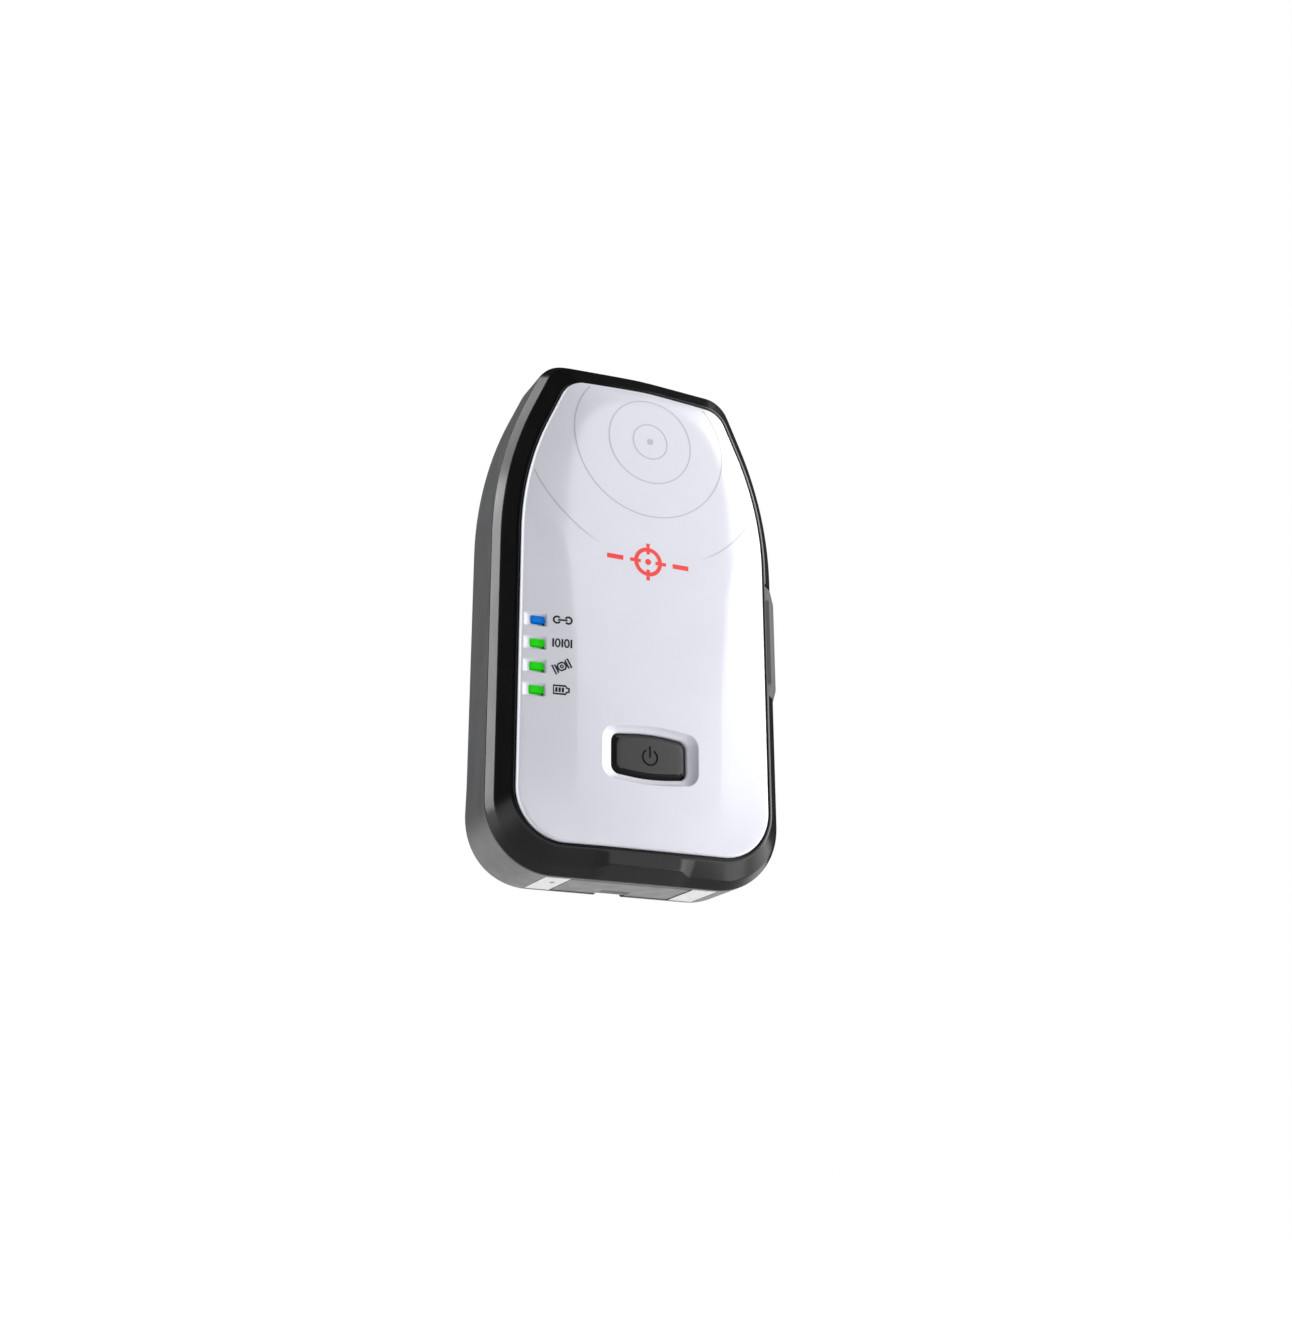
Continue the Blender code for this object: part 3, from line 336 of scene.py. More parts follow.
def fill_sheet(bm, outer, holes, depth, spacing, seams=()):
    """Fills the area between closed loops in x, z with small triangles, at y = depth(x, z).

    Returns one list of vertices for every loop, in the loop's own order.
    """
    points = []
    edges = []
    spans = []
    for loop in (outer, *holes):
        first = len(points)
        points += [tuple(point) for point in loop]
        edges += [(first + i, first + (i + 1) % len(loop)) for i in range(len(loop))]
        spans.append(range(first, len(points)))
    for seam in seams:
        first = len(points)
        points += [tuple(point) for point in seam]
        edges += [(first + i, first + i + 1) for i in range(len(seam) - 1)]
    fixed = np.array(points)
    low, high = fixed.min(axis=0), fixed.max(axis=0)
    row_step = spacing * 0.866
    rows = np.arange(low[1] + row_step / 2, high[1], row_step)
    columns = np.arange(low[0], high[0], spacing)
    grid_x = np.concatenate([columns + spacing / 2 * (i % 2) for i in range(len(rows))])
    grid_z = np.repeat(rows, len(columns))
    keep = inside(grid_x, grid_z, outer) & (distance_to(grid_x, grid_z, outer) > spacing * 0.6)
    for hole in holes:
        keep &= ~inside(grid_x, grid_z, hole) & (distance_to(grid_x, grid_z, hole) > spacing * 0.5)
    for seam in seams:
        keep &= distance_to(grid_x, grid_z, seam, False) > spacing * 0.6
    points += list(zip(grid_x[keep], grid_z[keep]))
    flat, _, faces, sources, _, _ = delaunay_2d_cdt([Vector(p) for p in points], edges, [], 0, 1e-7)
    index_of = {source: index for index, group in enumerate(sources) for source in group}
    xs = np.array([point.x for point in flat])
    zs = np.array([point.y for point in flat])
    ys = depth(xs, zs)
    middle_x = np.array([sum(xs[i] for i in face) / len(face) for face in faces])
    middle_z = np.array([sum(zs[i] for i in face) / len(face) for face in faces])
    wanted = inside(middle_x, middle_z, outer)
    for hole in holes:
        wanted &= ~inside(middle_x, middle_z, hole)
    made = add_verts(bm, zip(xs, ys, zs))
    for face, keep_face in zip(faces, wanted):
        if keep_face:
            bm.faces.new([made[i] for i in face])
    return [[made[index_of[i]] for i in span] for span in spans]


def level(y):
    """A flat sheet's depth."""
    return lambda xs, zs: np.full(len(xs), float(y))


def smooth(mesh, sharp):
    """Shades a mesh smooth apart from edges over the sharp angle."""
    mesh.shade_smooth()
    mesh.set_sharp_from_angle(angle=math.radians(sharp))


def finish(bm, name, mat, sharp=30.0):
    """Turns the faces outwards, shades them smooth up to the sharp angle and makes the object."""
    loose = [vert for vert in bm.verts if not vert.link_faces]
    bmesh.ops.delete(bm, geom=loose, context="VERTS")
    bmesh.ops.recalc_face_normals(bm, faces=bm.faces)
    mesh = bpy.data.meshes.new(name)
    bm.to_mesh(mesh)
    bm.free()
    smooth(mesh, sharp)
    if mat:
        mesh.materials.append(mat)
    obj = bpy.data.objects.new(name, mesh)
    bpy.context.scene.collection.objects.link(obj)
    return obj


def weigh_normals(obj):
    """Keeps flat faces flat beside rounded ones."""
    modifier = obj.modifiers.new("weighted", "WEIGHTED_NORMAL")
    modifier.keep_sharp = True
    modifier.weight = 70
    return obj


def loft(name, rings, mat, closed=False, sharp=30.0):
    bm = bmesh.new()
    loops = skin_rings(bm, rings, closed)
    if not closed:
        bm.faces.new(loops[0])
        bm.faces.new(loops[-1])
    return finish(bm, name, mat, sharp)


def prism(name, section, axis, low, high, mat=None):
    """A flat outline pushed along x or z."""
    lay = {"x": lambda a, b, t: (t, a, b), "z": lambda a, b, t: (a, b, t)}[axis]
    return loft(name, [[lay(a, b, t) for a, b in section] for t in (low, high)], mat)


def pin_bore(name, centre, radius, axis, low, high, sides=16):
    return prism(name, circle(centre, radius, sides), axis, low, high)


def block(name, low, high, mat=None, bevel=0.0, segments=3):
    """A box between two corners with rounded edges."""
    bm = bmesh.new()
    bmesh.ops.create_cube(bm, size=1.0)
    size = Vector(high) - Vector(low)
    bmesh.ops.scale(bm, vec=size * MM, verts=bm.verts)
    bmesh.ops.translate(bm, vec=(Vector(low) + Vector(high)) / 2 * MM, verts=bm.verts)
    if bevel:
        bmesh.ops.bevel(bm, geom=bm.edges[:], offset=bevel * MM, segments=segments, profile=0.5,
                        affect="EDGES")
    return finish(bm, name, mat)


AXIS_TURN = {
    "x": Matrix.Rotation(math.radians(90), 4, "Y"),
    "y": Matrix.Rotation(math.radians(-90), 4, "X"),
    "z": Matrix.Identity(4),
}


def lathe(name, base, axis, profile, mat, sides=40, sharp=30.0):
    """A turned piece; profile is (radius, distance along the axis) from its start to its end."""
    bm = bmesh.new()
    loops = []
    for radius, along in profile:
        if radius < 0.001:
            loops.append([bm.verts.new((0, 0, along * MM))])
            continue
        ring = [(p.x, p.y, along) for p in circle((0, 0), radius, sides)]
        loops.append(add_verts(bm, ring))
    for first, second in zip(loops, loops[1:]):
        if min(len(first), len(second)) == 1:
            tip, ring = (first[0], second) if len(first) == 1 else (second[0], first)
            for i in range(sides):
                bm.faces.new((tip, ring[i], ring[(i + 1) % sides]))
        else:
            skin(bm, first, second)
    if len(loops[0]) > 1 and len(loops[-1]) > 1:
        skin(bm, loops[-1], loops[0])
    bmesh.ops.transform(bm, matrix=AXIS_TURN[axis], verts=bm.verts)
    bmesh.ops.translate(bm, vec=Vector(base) * MM, verts=bm.verts)
    return finish(bm, name, mat, sharp)


def apply_modifiers(obj):
    graph = bpy.context.evaluated_depsgraph_get()
    mesh = bpy.data.meshes.new_from_object(obj.evaluated_get(graph))
    old = obj.data
    obj.modifiers.clear()
    obj.data = mesh
    bpy.data.meshes.remove(old)


def combine(target, tools, operation="DIFFERENCE"):
    """Cuts or joins tool objects and removes them."""
    for tool in tools:
        modifier = target.modifiers.new("tool", "BOOLEAN")
        modifier.operation = operation
        modifier.object = tool
        modifier.solver = "EXACT"
        bpy.context.view_layer.update()
        apply_modifiers(target)
        bpy.data.objects.remove(tool, do_unlink=True)


def merge(objects):
    """Several tools that don't touch, as one."""
    bm = bmesh.new()
    for obj in objects:
        bm.from_mesh(obj.data)
        bpy.data.objects.remove(obj, do_unlink=True)
    return finish(bm, "tools", None)


def soften(obj, width, angle=35.0, segments=2):
    """A small rounding on every sharp edge."""
    modifier = obj.modifiers.new("soften", "BEVEL")
    modifier.width = width * MM
    modifier.segments = segments
    modifier.limit_method = "ANGLE"
    modifier.angle_limit = math.radians(angle)
    modifier.use_clamp_overlap = True
    modifier.harden_normals = False
    bpy.context.view_layer.update()
    apply_modifiers(obj)
    smooth(obj.data, 38.0)
    return weigh_normals(obj)


# ---- materials ----
class Shader:
    """A material with a Principled shader and short ways to add nodes to it."""

    def __init__(self, name, colour, roughness, metallic=0.0):
        self.mat = bpy.data.materials.new(name)
        self.mat.use_nodes = True
        self.nodes = self.mat.node_tree.nodes
        self.links = self.mat.node_tree.links
        self.shader = self.nodes["Principled BSDF"]
        self.set("Base Color", (*colour, 1.0))
        self.set("Roughness", roughness)
        self.set("Metallic", metallic)
        self.mat.diffuse_color = (*colour, 1.0)
        self.place = self.nodes.new("ShaderNodeTexCoord").outputs["Object"]

    def set(self, socket, value):
        self.shader.inputs[socket].default_value = value

    def noise(self, size_mm, detail=3.0, stretch=(1, 1, 1), rough=0.55):
        mapping = self.nodes.new("ShaderNodeMapping")
        mapping.inputs["Scale"].default_value = [s / (size_mm * MM) for s in stretch]
        self.links.new(self.place, mapping.inputs["Vector"])
        node = self.nodes.new("ShaderNodeTexNoise")
        node.inputs["Scale"].default_value = 1.0
        node.inputs["Detail"].default_value = detail
        node.inputs["Roughness"].default_value = rough
        self.links.new(mapping.outputs["Vector"], node.inputs["Vector"])
        return node.outputs["Fac"]

    def spread(self, value, low, high, span=(0.3, 0.7), kind="LINEAR"):
        """Maps a span of the value, which is a noise's middle range by default, onto low to high."""
        node = self.nodes.new("ShaderNodeMapRange")
        node.interpolation_type = kind
        for socket, limit in zip(("From Min", "From Max", "To Min", "To Max"), (*span, low, high)):
            node.inputs[socket].default_value = limit
        self.links.new(value, node.inputs["Value"])
        return node.outputs["Result"]

    def mix(self, factor, first, second):
        node = self.nodes.new("ShaderNodeMix")
        node.data_type = "RGBA"
        self.links.new(factor, node.inputs["Factor"])
        for socket, colour in (("A", first), ("B", second)):
            target = [s for s in node.inputs if s.name == socket and s.type == "RGBA"][0]
            if isinstance(colour, tuple):
                target.default_value = (*colour, 1.0)
            else:
                self.links.new(colour, target)
        return [s for s in node.outputs if s.type == "RGBA"][0]

    def bump(self, height, strength, depth_mm, below=None):
        node = self.nodes.new("ShaderNodeBump")
        node.inputs["Strength"].default_value = strength
        node.inputs["Distance"].default_value = depth_mm * MM
        self.links.new(height, node.inputs["Height"])
        if below:
            self.links.new(below, node.inputs["Normal"])
        self.link("Normal", node.outputs["Normal"])
        return node.outputs["Normal"]

    def link(self, socket, value):
        self.links.new(value, self.shader.inputs[socket])


def shade(colour, factor):
    return tuple(min(channel * factor, 1.0) for channel in colour)


def plastic(name, colour, roughness, grain_mm=0.35, grain=0.10, variation=0.05, rough_swing=0.05,
            specular=0.5):
    """Moulded plastic: spark-eroded grain, slow flow mottling and handling marks in the gloss."""
    s = Shader(name, colour, roughness)
    s.set("Specular IOR Level", specular)
    cloud = s.spread(s.noise(14.0, 2.0), 0.0, 1.0)
    s.link("Base Color", s.mix(cloud, shade(colour, 1 - variation), shade(colour, 1 + variation)))
    smear = s.noise(5.0, 5.0, stretch=(1.0, 1.0, 0.35))
    s.link("Roughness", s.spread(smear, roughness - rough_swing, roughness + rough_swing))
    fine = s.bump(s.noise(grain_mm, 2.0), grain, 0.02)
    s.bump(s.noise(9.0, 1.0), 0.03, 0.05, below=fine)
    return s.mat


def metal(name, colour, roughness, brush=(1.0, 18.0, 1.0), grain_mm=0.5, scratch=0.12, variation=0.08):
    """Metal with a brushed or rolled grain."""
    s = Shader(name, colour, roughness, 1.0)
    grain = s.noise(grain_mm, 4.0, stretch=tuple(1.0 / b for b in brush))
    s.link("Roughness", s.spread(grain, roughness * 0.75, roughness * 1.3))
    cloud = s.noise(3.0, 3.0)
    s.link("Base Color", s.mix(cloud, shade(colour, 1 - variation), shade(colour, 1 + variation)))
    s.bump(grain, scratch, 0.01)
    return s.mat


def glow(name, colour, strength, roughness=0.18):
    """A lit window: clear tinted plastic with light behind it, its tone varying a little at random."""
    s = Shader(name, colour, roughness)
    cloud = s.spread(s.noise(1.2, 2.0), 0.0, 1.0)
    tone = s.mix(cloud, shade(colour, 0.92), shade(colour, 1.05))
    s.link("Base Color", tone)
    s.link("Emission Color", tone)
    s.set("Emission Strength", strength)
    s.link("Roughness", s.spread(s.noise(0.8, 2.0), roughness * 0.8, roughness * 1.3))
    s.set("Specular IOR Level", 0.15)
    s.bump(s.noise(0.25, 2.0), 0.05, 0.01)
    return s.mat


PANEL_GREY = plastic("panel_grey", (0.71, 0.715, 0.785), 0.40, 0.30, 0.05, 0.015, 0.03)
FRAME_BLACK = plastic("frame_black", (0.005, 0.005, 0.0053), 0.22, 0.35, 0.05, 0.06, 0.03, specular=0.4)
HOUSING_GREY = plastic("housing_grey", (0.070, 0.071, 0.073), 0.38, 0.45, 0.16, 0.05, 0.05)
BUTTON_GREY = plastic("button_grey", (0.029, 0.029, 0.028), 0.50, 0.30, 0.10, 0.04, 0.04)
RUBBER = plastic("rubber_dark", (0.070, 0.072, 0.070), 0.55, 0.5, 0.22, 0.06, 0.06, specular=0.35)
SEAL = plastic("seal_rubber", (0.02, 0.02, 0.02), 0.7, 0.5, 0.15, 0.08, 0.05, specular=0.3)
SYMBOL_INK = plastic("symbol_ink", (0.012, 0.012, 0.02), 0.45, 0.2, 0.05, 0.05, 0.04)
RING_INK = plastic("ring_ink", (0.50, 0.51, 0.555), 0.4, 0.2, 0.05, 0.02, 0.04)
MARK_INK = plastic("mark_ink", (0.86, 0.055, 0.045), 0.4, 0.2, 0.05, 0.03, 0.04)
# Near black for the symbol's floor and for painted shade on the button's left and bottom bevels.
SYMBOL_AND_SHADE_BLACK = plastic("symbol_and_painted_shade_black", (0.006, 0.006, 0.006), 0.5, 0.3, 0.1, 0.05, 0.05, specular=0.15)
TRAY_BLACK = plastic("tray_black", (0.03, 0.03, 0.032), 0.5, 0.5, 0.15, 0.06, 0.05)
LABEL_FILM = plastic("label_film", (0.33, 0.335, 0.345), 0.32, 0.6, 0.04, 0.03, 0.05)
CERAMIC = plastic("patch_ceramic", (0.62, 0.55, 0.42), 0.55, 0.4, 0.2, 0.06, 0.05)
WRAP = plastic("battery_wrap", (0.03, 0.08, 0.22), 0.28, 1.2, 0.12, 0.05, 0.06)
CHIP_WHITE = plastic("chip_white", (0.8, 0.8, 0.74), 0.35, 0.3, 0.05, 0.03, 0.03)
CHIP_BLACK = plastic("chip_black", (0.02, 0.02, 0.02), 0.42, 0.3, 0.1, 0.05, 0.05)
BOARD = plastic("solder_mask", (0.01, 0.13, 0.05), 0.3, 0.8, 0.1, 0.15, 0.06)
PLATE = metal("contact_plate", (0.60, 0.60, 0.615), 0.36, (1.0, 14.0, 1.0), 0.25)
STEEL = metal("screw_steel", (0.50, 0.50, 0.51), 0.32, (1, 1, 1), 0.3)
TIN = metal("shield_tin", (0.68, 0.69, 0.70), 0.28, (8.0, 1.0, 1.0), 0.4)
BRASS = metal("turned_brass", (0.72, 0.53, 0.24), 0.26, (1, 1, 1), 0.25)
LENS_BLUE = glow("lens_blue", (0.0, 0.11, 0.42), 0.6, 0.35)
LENS_GREEN = glow("lens_green", (0.008, 0.38, 0.002), 0.8, 0.35)


# ---- front panel ----
def curved_depth(shift):
    return lambda xs, zs: panel_y(xs, zs) + shift


def depths_of(loop, shift=0.0):
    return panel_y([p.x for p in loop], [p.y for p in loop]) + shift


def at_depths(loop, ys):
    return [(p.x, y, p.y) for p, y in zip(loop, ys)]


def button_shape(grow, radius):
    """The button's outline grown evenly on all sides."""
    shape = rounded_rectangle(BUTTON_SIZE[0] + 2 * grow, BUTTON_SIZE[1] + 2 * grow, radius, BUTTON_BOW)
    return shifted(shape, BUTTON_Z)


def dish_shape(grow, radius):
    """The outline of the dish round the button, grown evenly on all sides."""
    shape = rounded_rectangle(DISH_SIZE[0] + 2 * grow, DISH_SIZE[1] + 2 * grow, radius, DISH_BOW)
    return shifted(shape, BUTTON_Z)


def crease_seams():
    """Lines along both creases that the panel's mesh has to follow."""
    zs = np.arange(PANEL_FOOT + 2.0, 98.0, 1.5)
    return [[Vector((side * (crease_x(z) + shift), z)) for z in zs]
            for side in (-1, 1) for shift in (-CREASE_SOFT, 0.0, CREASE_SOFT)]


def pocket_loop(led, low_x, high_x, half_height, radius):
    return rectangle_loop(led.x + low_x, led.x + high_x, led.z - half_height, led.z + half_height, radius)


def make_front_panel():
    edge_roll = 0.7
    rim_start = offset(PANEL_EDGE, -edge_roll)
    dish_top = dish_shape(0.35, 3.9)
    dish_wall = dish_shape(0.0, 3.6)
    collar = dish_shape(1.5, 5.0)
    pockets = [pocket_loop(led, -3.92, 2.32, 1.92, 0.5) for led in LEDS]
    slots = [pocket_loop(led, -2.1, 2.1, 1.2, 0.3) for led in LEDS]

    bm = bmesh.new()
    front = fill_sheet(bm, rim_start, [dish_top, *pockets], curved_depth(0.0), 1.5, crease_seams())
    shown = {vert for vert in bm.verts if vert.link_faces}
    smooth_count = len(bm.verts)
    back = fill_sheet(bm, PANEL_EDGE, [collar, *slots], curved_depth(PANEL_THICKNESS), 5.0)

    start_y = depths_of(rim_start)
    last = extend(bm, front[0], rolled(rim_start, start_y, PANEL_EDGE, edge_roll + 0.2, 6))
    skin(bm, last, back[0])

    last = extend(bm, front[1], rolled(dish_top, depths_of(dish_top), dish_wall, 0.3, 4))
    foot = button_shape(0.5, 2.6)
    hole = button_shape(0.15, 2.5)
    hole_front, hole_back = -12.75, -10.7
    last = extend(bm, last, [ring_at(foot, hole_front - 0.15), ring_at(hole, hole_front),
                             ring_at(hole, hole_back), ring_at(collar, hole_back)])
    skin(bm, last, back[1])

    for led, pocket, slot, loop, behind in zip(LEDS, pockets, slots, front[2:], back[2:]):
        wall = pocket_loop(led, -3.8, 2.2, 1.8, 0.42)
        floor = pocket_loop(led, -2.25, 2.15, 1.45, 0.35)
        floor_y = float(panel_y([led.x], [led.z])[0]) + 0.85
        last = extend(bm, loop, rolled(pocket, depths_of(pocket), wall, 0.12, 2))
        last = extend(bm, last, [ring_at(floor, floor_y), ring_at(slot, floor_y)])
        skin(bm, last, behind)

    order = {vert: index for index, vert in enumerate(bm.verts)}
    curved = sorted(order[vert] for vert in shown if order[vert] < smooth_count)
    places = [(vert.co.x / MM, vert.co.z / MM) for vert in bm.verts]
    panel = finish(bm, "panel_shell", PANEL_GREY, 30.0)
    set_panel_normals(panel, curved, places)
    return panel


def set_panel_normals(panel, curved, places):
    """Gives the face its exact normals, so that its reflections run smooth."""
    x = np.array([places[i][0] for i in curved])
    z = np.array([places[i][1] for i in curved])
    step = 0.05
    along_x = (panel_y(x + step, z) - panel_y(x - step, z)) / (2 * step)
    along_z = (panel_y(x, z + step) - panel_y(x, z - step)) / (2 * step)
    inset = distance_to(x, z, PANEL_EDGE)
    normals = [(0.0, 0.0, 0.0)] * len(panel.data.vertices)
    for index, slope_x, slope_z, room in zip(curved, along_x, along_z, inset):
        if room > 0.6:
            normals[index] = Vector((slope_x, -1.0, slope_z)).normalized()
    panel.data.normals_split_custom_set_from_vertices(normals)


# ---- printed symbols ----
INK_LIFT = 0.03


def strokes(name, lines, mat):
    """Thin printed lines that follow the panel's face. Each line is (points, width, closed)."""
    bm = bmesh.new()
    for points, width, closed in lines:
        count = len(points)
        widths = width if isinstance(width, list) else [width] * count
        sides = []
        for i, point in enumerate(points):
            before = points[i - 1] if closed or i else point
            after = points[(i + 1) % count] if closed or i < count - 1 else point
            along = (after - before).normalized()
            across = Vector((along.y, -along.x)) * widths[i] / 2
            sides.append((point + across, point - across))
        right = [pair[0] for pair in sides]
        left = [pair[1] for pair in sides]
        rails = []
        for rail, lift in ((right, -INK_LIFT), (left, -INK_LIFT), (left, 0.05), (right, 0.05)):
            rails.append(add_verts(bm, at_depths(rail, depths_of(rail, lift))))
        for k in range(4):
            first, second = rails[k], rails[(k + 1) % 4]
            for i in range(count if closed else count - 1):
                j = (i + 1) % count
                bm.faces.new((first[i], first[j], second[j], second[i]))
        if not closed:
            for end in (0, -1):
                bm.faces.new([rail[end] for rail in rails])
    return finish(bm, name, mat)


def patches(name, loops, mat):
    """Small printed areas that follow the panel's face."""
    bm = bmesh.new()
    for loop in loops:
        top = fill_sheet(bm, loop, [], curved_depth(-INK_LIFT), 0.8)[0]
        bottom = fill_sheet(bm, loop, [], curved_depth(0.05), 0.8)[0]
        skin(bm, top, bottom)
    return finish(bm, name, mat)


def turned_line(points, centre):
    """A line about the origin, turned to the satellite symbol's slant and moved to a centre."""
    turn = Matrix.Rotation(math.radians(SATELLITE_SLANT), 2)
    return [turn @ Vector(point) + Vector(centre) for point in points]


RINGS_Z = 122.8
RING_LINE = 0.34


def make_rings():
    """The rings printed over the antenna: whole ones, and wide ones that run out at the edge."""
    centre = (0.0, RINGS_Z)
    lines = [(circle(centre, radius, 72), RING_LINE, True) for radius in (5.2, 12.5)]
    lines.append(([p for p in arc(centre, 22.7, 118.0, 399.0, 160) if on_panel(p)], RING_LINE, False))
    for first, last, fades_at_end in ((198.0, 245.0, True), (295.0, 333.0, False)):
        points = [p for p in arc(centre, 36.3, first, last, 60) if on_panel(p)]
        taper = [RING_LINE * min(1.0, i / 14 + 0.08) for i in range(len(points))]
        if fades_at_end:
            taper.reverse()
        lines.append((points, taper, False))
    rings = strokes("antenna_rings", lines, RING_INK)
    dot = patches("antenna_dot", [circle(centre, 0.95, 20)], RING_INK)
    return [rings, dot]


def on_panel(point):
    x, z = np.array([point.x]), np.array([point.y])
    return bool(inside(x, z, PANEL_EDGE)[0]) and distance_to(x, z, PANEL_EDGE)[0] > 0.7


ICON_X = -25.35
ICON_LINE = 0.5
SATELLITE_SLANT = 28.0


def make_icons():
    """One symbol beside each light: link, data, satellite and battery."""
    rows = [led.z + 0.35 for led in LEDS]
    z = rows[0]
    left = arc((ICON_X - 1.5, z), 0.9, 40, 330, 20)
    right = arc((ICON_X + 1.5, z), 0.9, -140, 150, 20)
    bar = [Vector((ICON_X + reach, z)) for reach in (-1.25, 0.0, 1.25)]
    made = [strokes("icon_link", [(line, ICON_LINE, False) for line in (left, right, bar)], SYMBOL_INK)]

    z = rows[1]
    lines = []
    for i in range(5):
        x = ICON_X - 2.4 + 1.2 * i
        if i % 2:
            oval = [Vector((x + 0.56 * math.cos(a), z + 1.05 * math.sin(a)))
                    for a in np.linspace(0, 2 * math.pi, 21)[:-1]]
            lines.append((oval, ICON_LINE * 0.8, True))
        else:
            lines.append(([Vector((x, z + rise)) for rise in (-1.15, 0.0, 1.15)], ICON_LINE * 0.95, False))
    made.append(strokes("icon_data", lines, SYMBOL_INK))

    z = rows[2]
    body = [(-0.55, -1.0), (0.55, -1.0), (1.05, -0.5), (1.05, 0.5), (0.55, 1.0), (-0.55, 1.0), (-1.05, 0.5),
            (-1.05, -0.5)]
    wings = [[(side * x, y) for x, y in ((2.25, -1.35), (1.5, -1.1), (1.5, 1.1), (2.25, 1.35))]
             for side in (-1, 1)]
    lines = [(turned_line(shape, (ICON_X, z)), ICON_LINE * 0.9, True) for shape in (body, *wings)]
    for side in (-1, 1):
        arm = turned_line([(side * 1.05, 0.0), (side * 1.4, 0.0)], (ICON_X, z))
        lines.append((arm, ICON_LINE, False))
    lines.append((circle((ICON_X, z), 0.38, 14), ICON_LINE * 0.7, True))
    made.append(strokes("icon_satellite", lines, SYMBOL_INK))

    z = rows[3]
    shell = [(-2.05, -1.1), (1.15, -1.1), (1.35, -0.6), (2.0, -0.5), (2.0, 0.5), (1.35, 0.6), (1.15, 1.1),
             (-2.05, 1.1)]
    lines = [([Vector((ICON_X + x, z + rise)) for x, rise in shell], ICON_LINE, True)]
    for i in range(3):
        x = ICON_X - 1.3 + 0.85 * i
        lines.append(([Vector((x, z - 0.62)), Vector((x, z + 0.62))], ICON_LINE * 1.2, False))
    made.append(strokes("icon_battery", lines, SYMBOL_INK))
    return made


MARK_CENTRE = (-0.8, 86.5)


def make_front_mark():
    """A plain red mark: a ring with four ticks between two bars, with no lettering."""
    x, z = MARK_CENTRE
    lines = [(circle(MARK_CENTRE, 3.6, 48), 1.15, True)]
    for angle in range(0, 360, 90):
        way = Vector((math.cos(math.radians(angle)), math.sin(math.radians(angle))))
        for reaches in ((2.2, 3.0), (4.2, 5.4)):
            lines.append(([Vector(MARK_CENTRE) + way * reach for reach in reaches], 1.0, False))
    for side in (-1, 1):
        ends = [Vector((x + side * reach, z)) for reach in (7.4, 9.0, 10.6, 12.2)]
        lines.append((ends, 1.35, False))
    ring = strokes("front_mark_lines", lines, MARK_INK)
    dot = patches("front_mark_dot", [circle(MARK_CENTRE, 0.9, 20)], MARK_INK)
    return [ring, dot]


# ---- front frame ----
BEAD_DROP = 0.8                     # how much lower the frame's inner bead is along the left


def seal_detour(point):
    """How far the housing seal and its groove move inwards to pass behind the port cover."""
    if point.x < 0:
        return 0.0
    return 3.0 * float(smoothstep((point.y - 37.0) / 16.0) * smoothstep((103.0 - point.y) / 10.0))


def inboard(distance):
    """The body's outline moved inwards, with the detour behind the port cover."""
    moved = offset(BODY_EDGE, -distance)
    return [Vector((point.x - seal_detour(point), point.y)) for point in moved]


def lip_amount(point):
    """How much of the thumb lip there is at a point of the frame's outline."""
    inner, outer = LIP_FLANK
    return float(smoothstep((outer - abs(point.x)) / (outer - inner))) if point.y < 20.0 else 0.0


def soften_rings(rings, radii, steps=4):
    """Rounds the corners of a closed profile of rings; radii gives each ring's own rounding."""
    result = []
    for k, (ring, radius) in enumerate(zip(rings, radii)):
        if radius <= 0:
            result.append(ring)
            continue
        before, after = rings[k - 1], rings[(k + 1) % len(rings)]
        stages = [[] for _ in range(steps + 1)]
        for here, back, on in zip(ring, before, after):
            corner = Vector(here)
            to_back = Vector(back) - corner
            to_on = Vector(on) - corner
            start = corner + to_back.normalized() * min(radius, to_back.length * 0.45)
            end = corner + to_on.normalized() * min(radius, to_on.length * 0.45)
            for step in range(steps + 1):
                t = step / steps
                stages[step].append(start * (1 - t) ** 2 + corner * 2 * t * (1 - t) + end * t * t)
        result += stages
    return result


def bead_ring(gap, depth):
    """The frame's inner bead, set lower along the left so that the panel's edge shows."""
    ring = []
    for point in offset(PANEL_EDGE, gap):
        drop = BEAD_DROP * float(smoothstep((-point.x - 10.0) / 14.0))
        ring.append((point.x, EDGE_Y + depth + drop, point.y))
    return ring


def make_front_frame():
    ledge = offset(PANEL_EDGE, -1.2)
    seat = EDGE_Y + PANEL_THICKNESS + GAP
    slope_ring = []
    for point in SLOPE_EDGE:
        lift = lip_amount(point)
        slope_ring.append((point.x, SLOPE_Y - 2.9 * lift, point.y + 1.0 * lift))
    profile = [
        (ring_at(offset(PANEL_EDGE, 0.12), seat), 0.0),
        (bead_ring(0.12, 0.3), 0.1),
        (bead_ring(0.6, 0.1), 0.2),
        (bead_ring(1.3, 0.25), 0.25),
        (slope_ring, 0.3),
        (ring_at(BODY_EDGE, STRIP_Y), 0.22),
        *[(ring_at(inboard(distance), STRIP_Y - depth), 0.0)
          for distance, depth in ((1.2, 0.0), (1.2, 1.1), (2.9, 1.1), (2.9, 0.0), (4.0, 0.0))],
        (ring_at(ledge, seat + 1.6), 0.0),
        (ring_at(ledge, seat), 0.0),
    ]
    rings = soften_rings(*zip(*profile))
    shell = loft("frame_shell", rings, FRAME_BLACK, closed=True, sharp=35.0)
    combine(shell, [cover_pocket("frame_pocket")])
    smooth(shell.data, 35.0)
    return weigh_normals(shell)


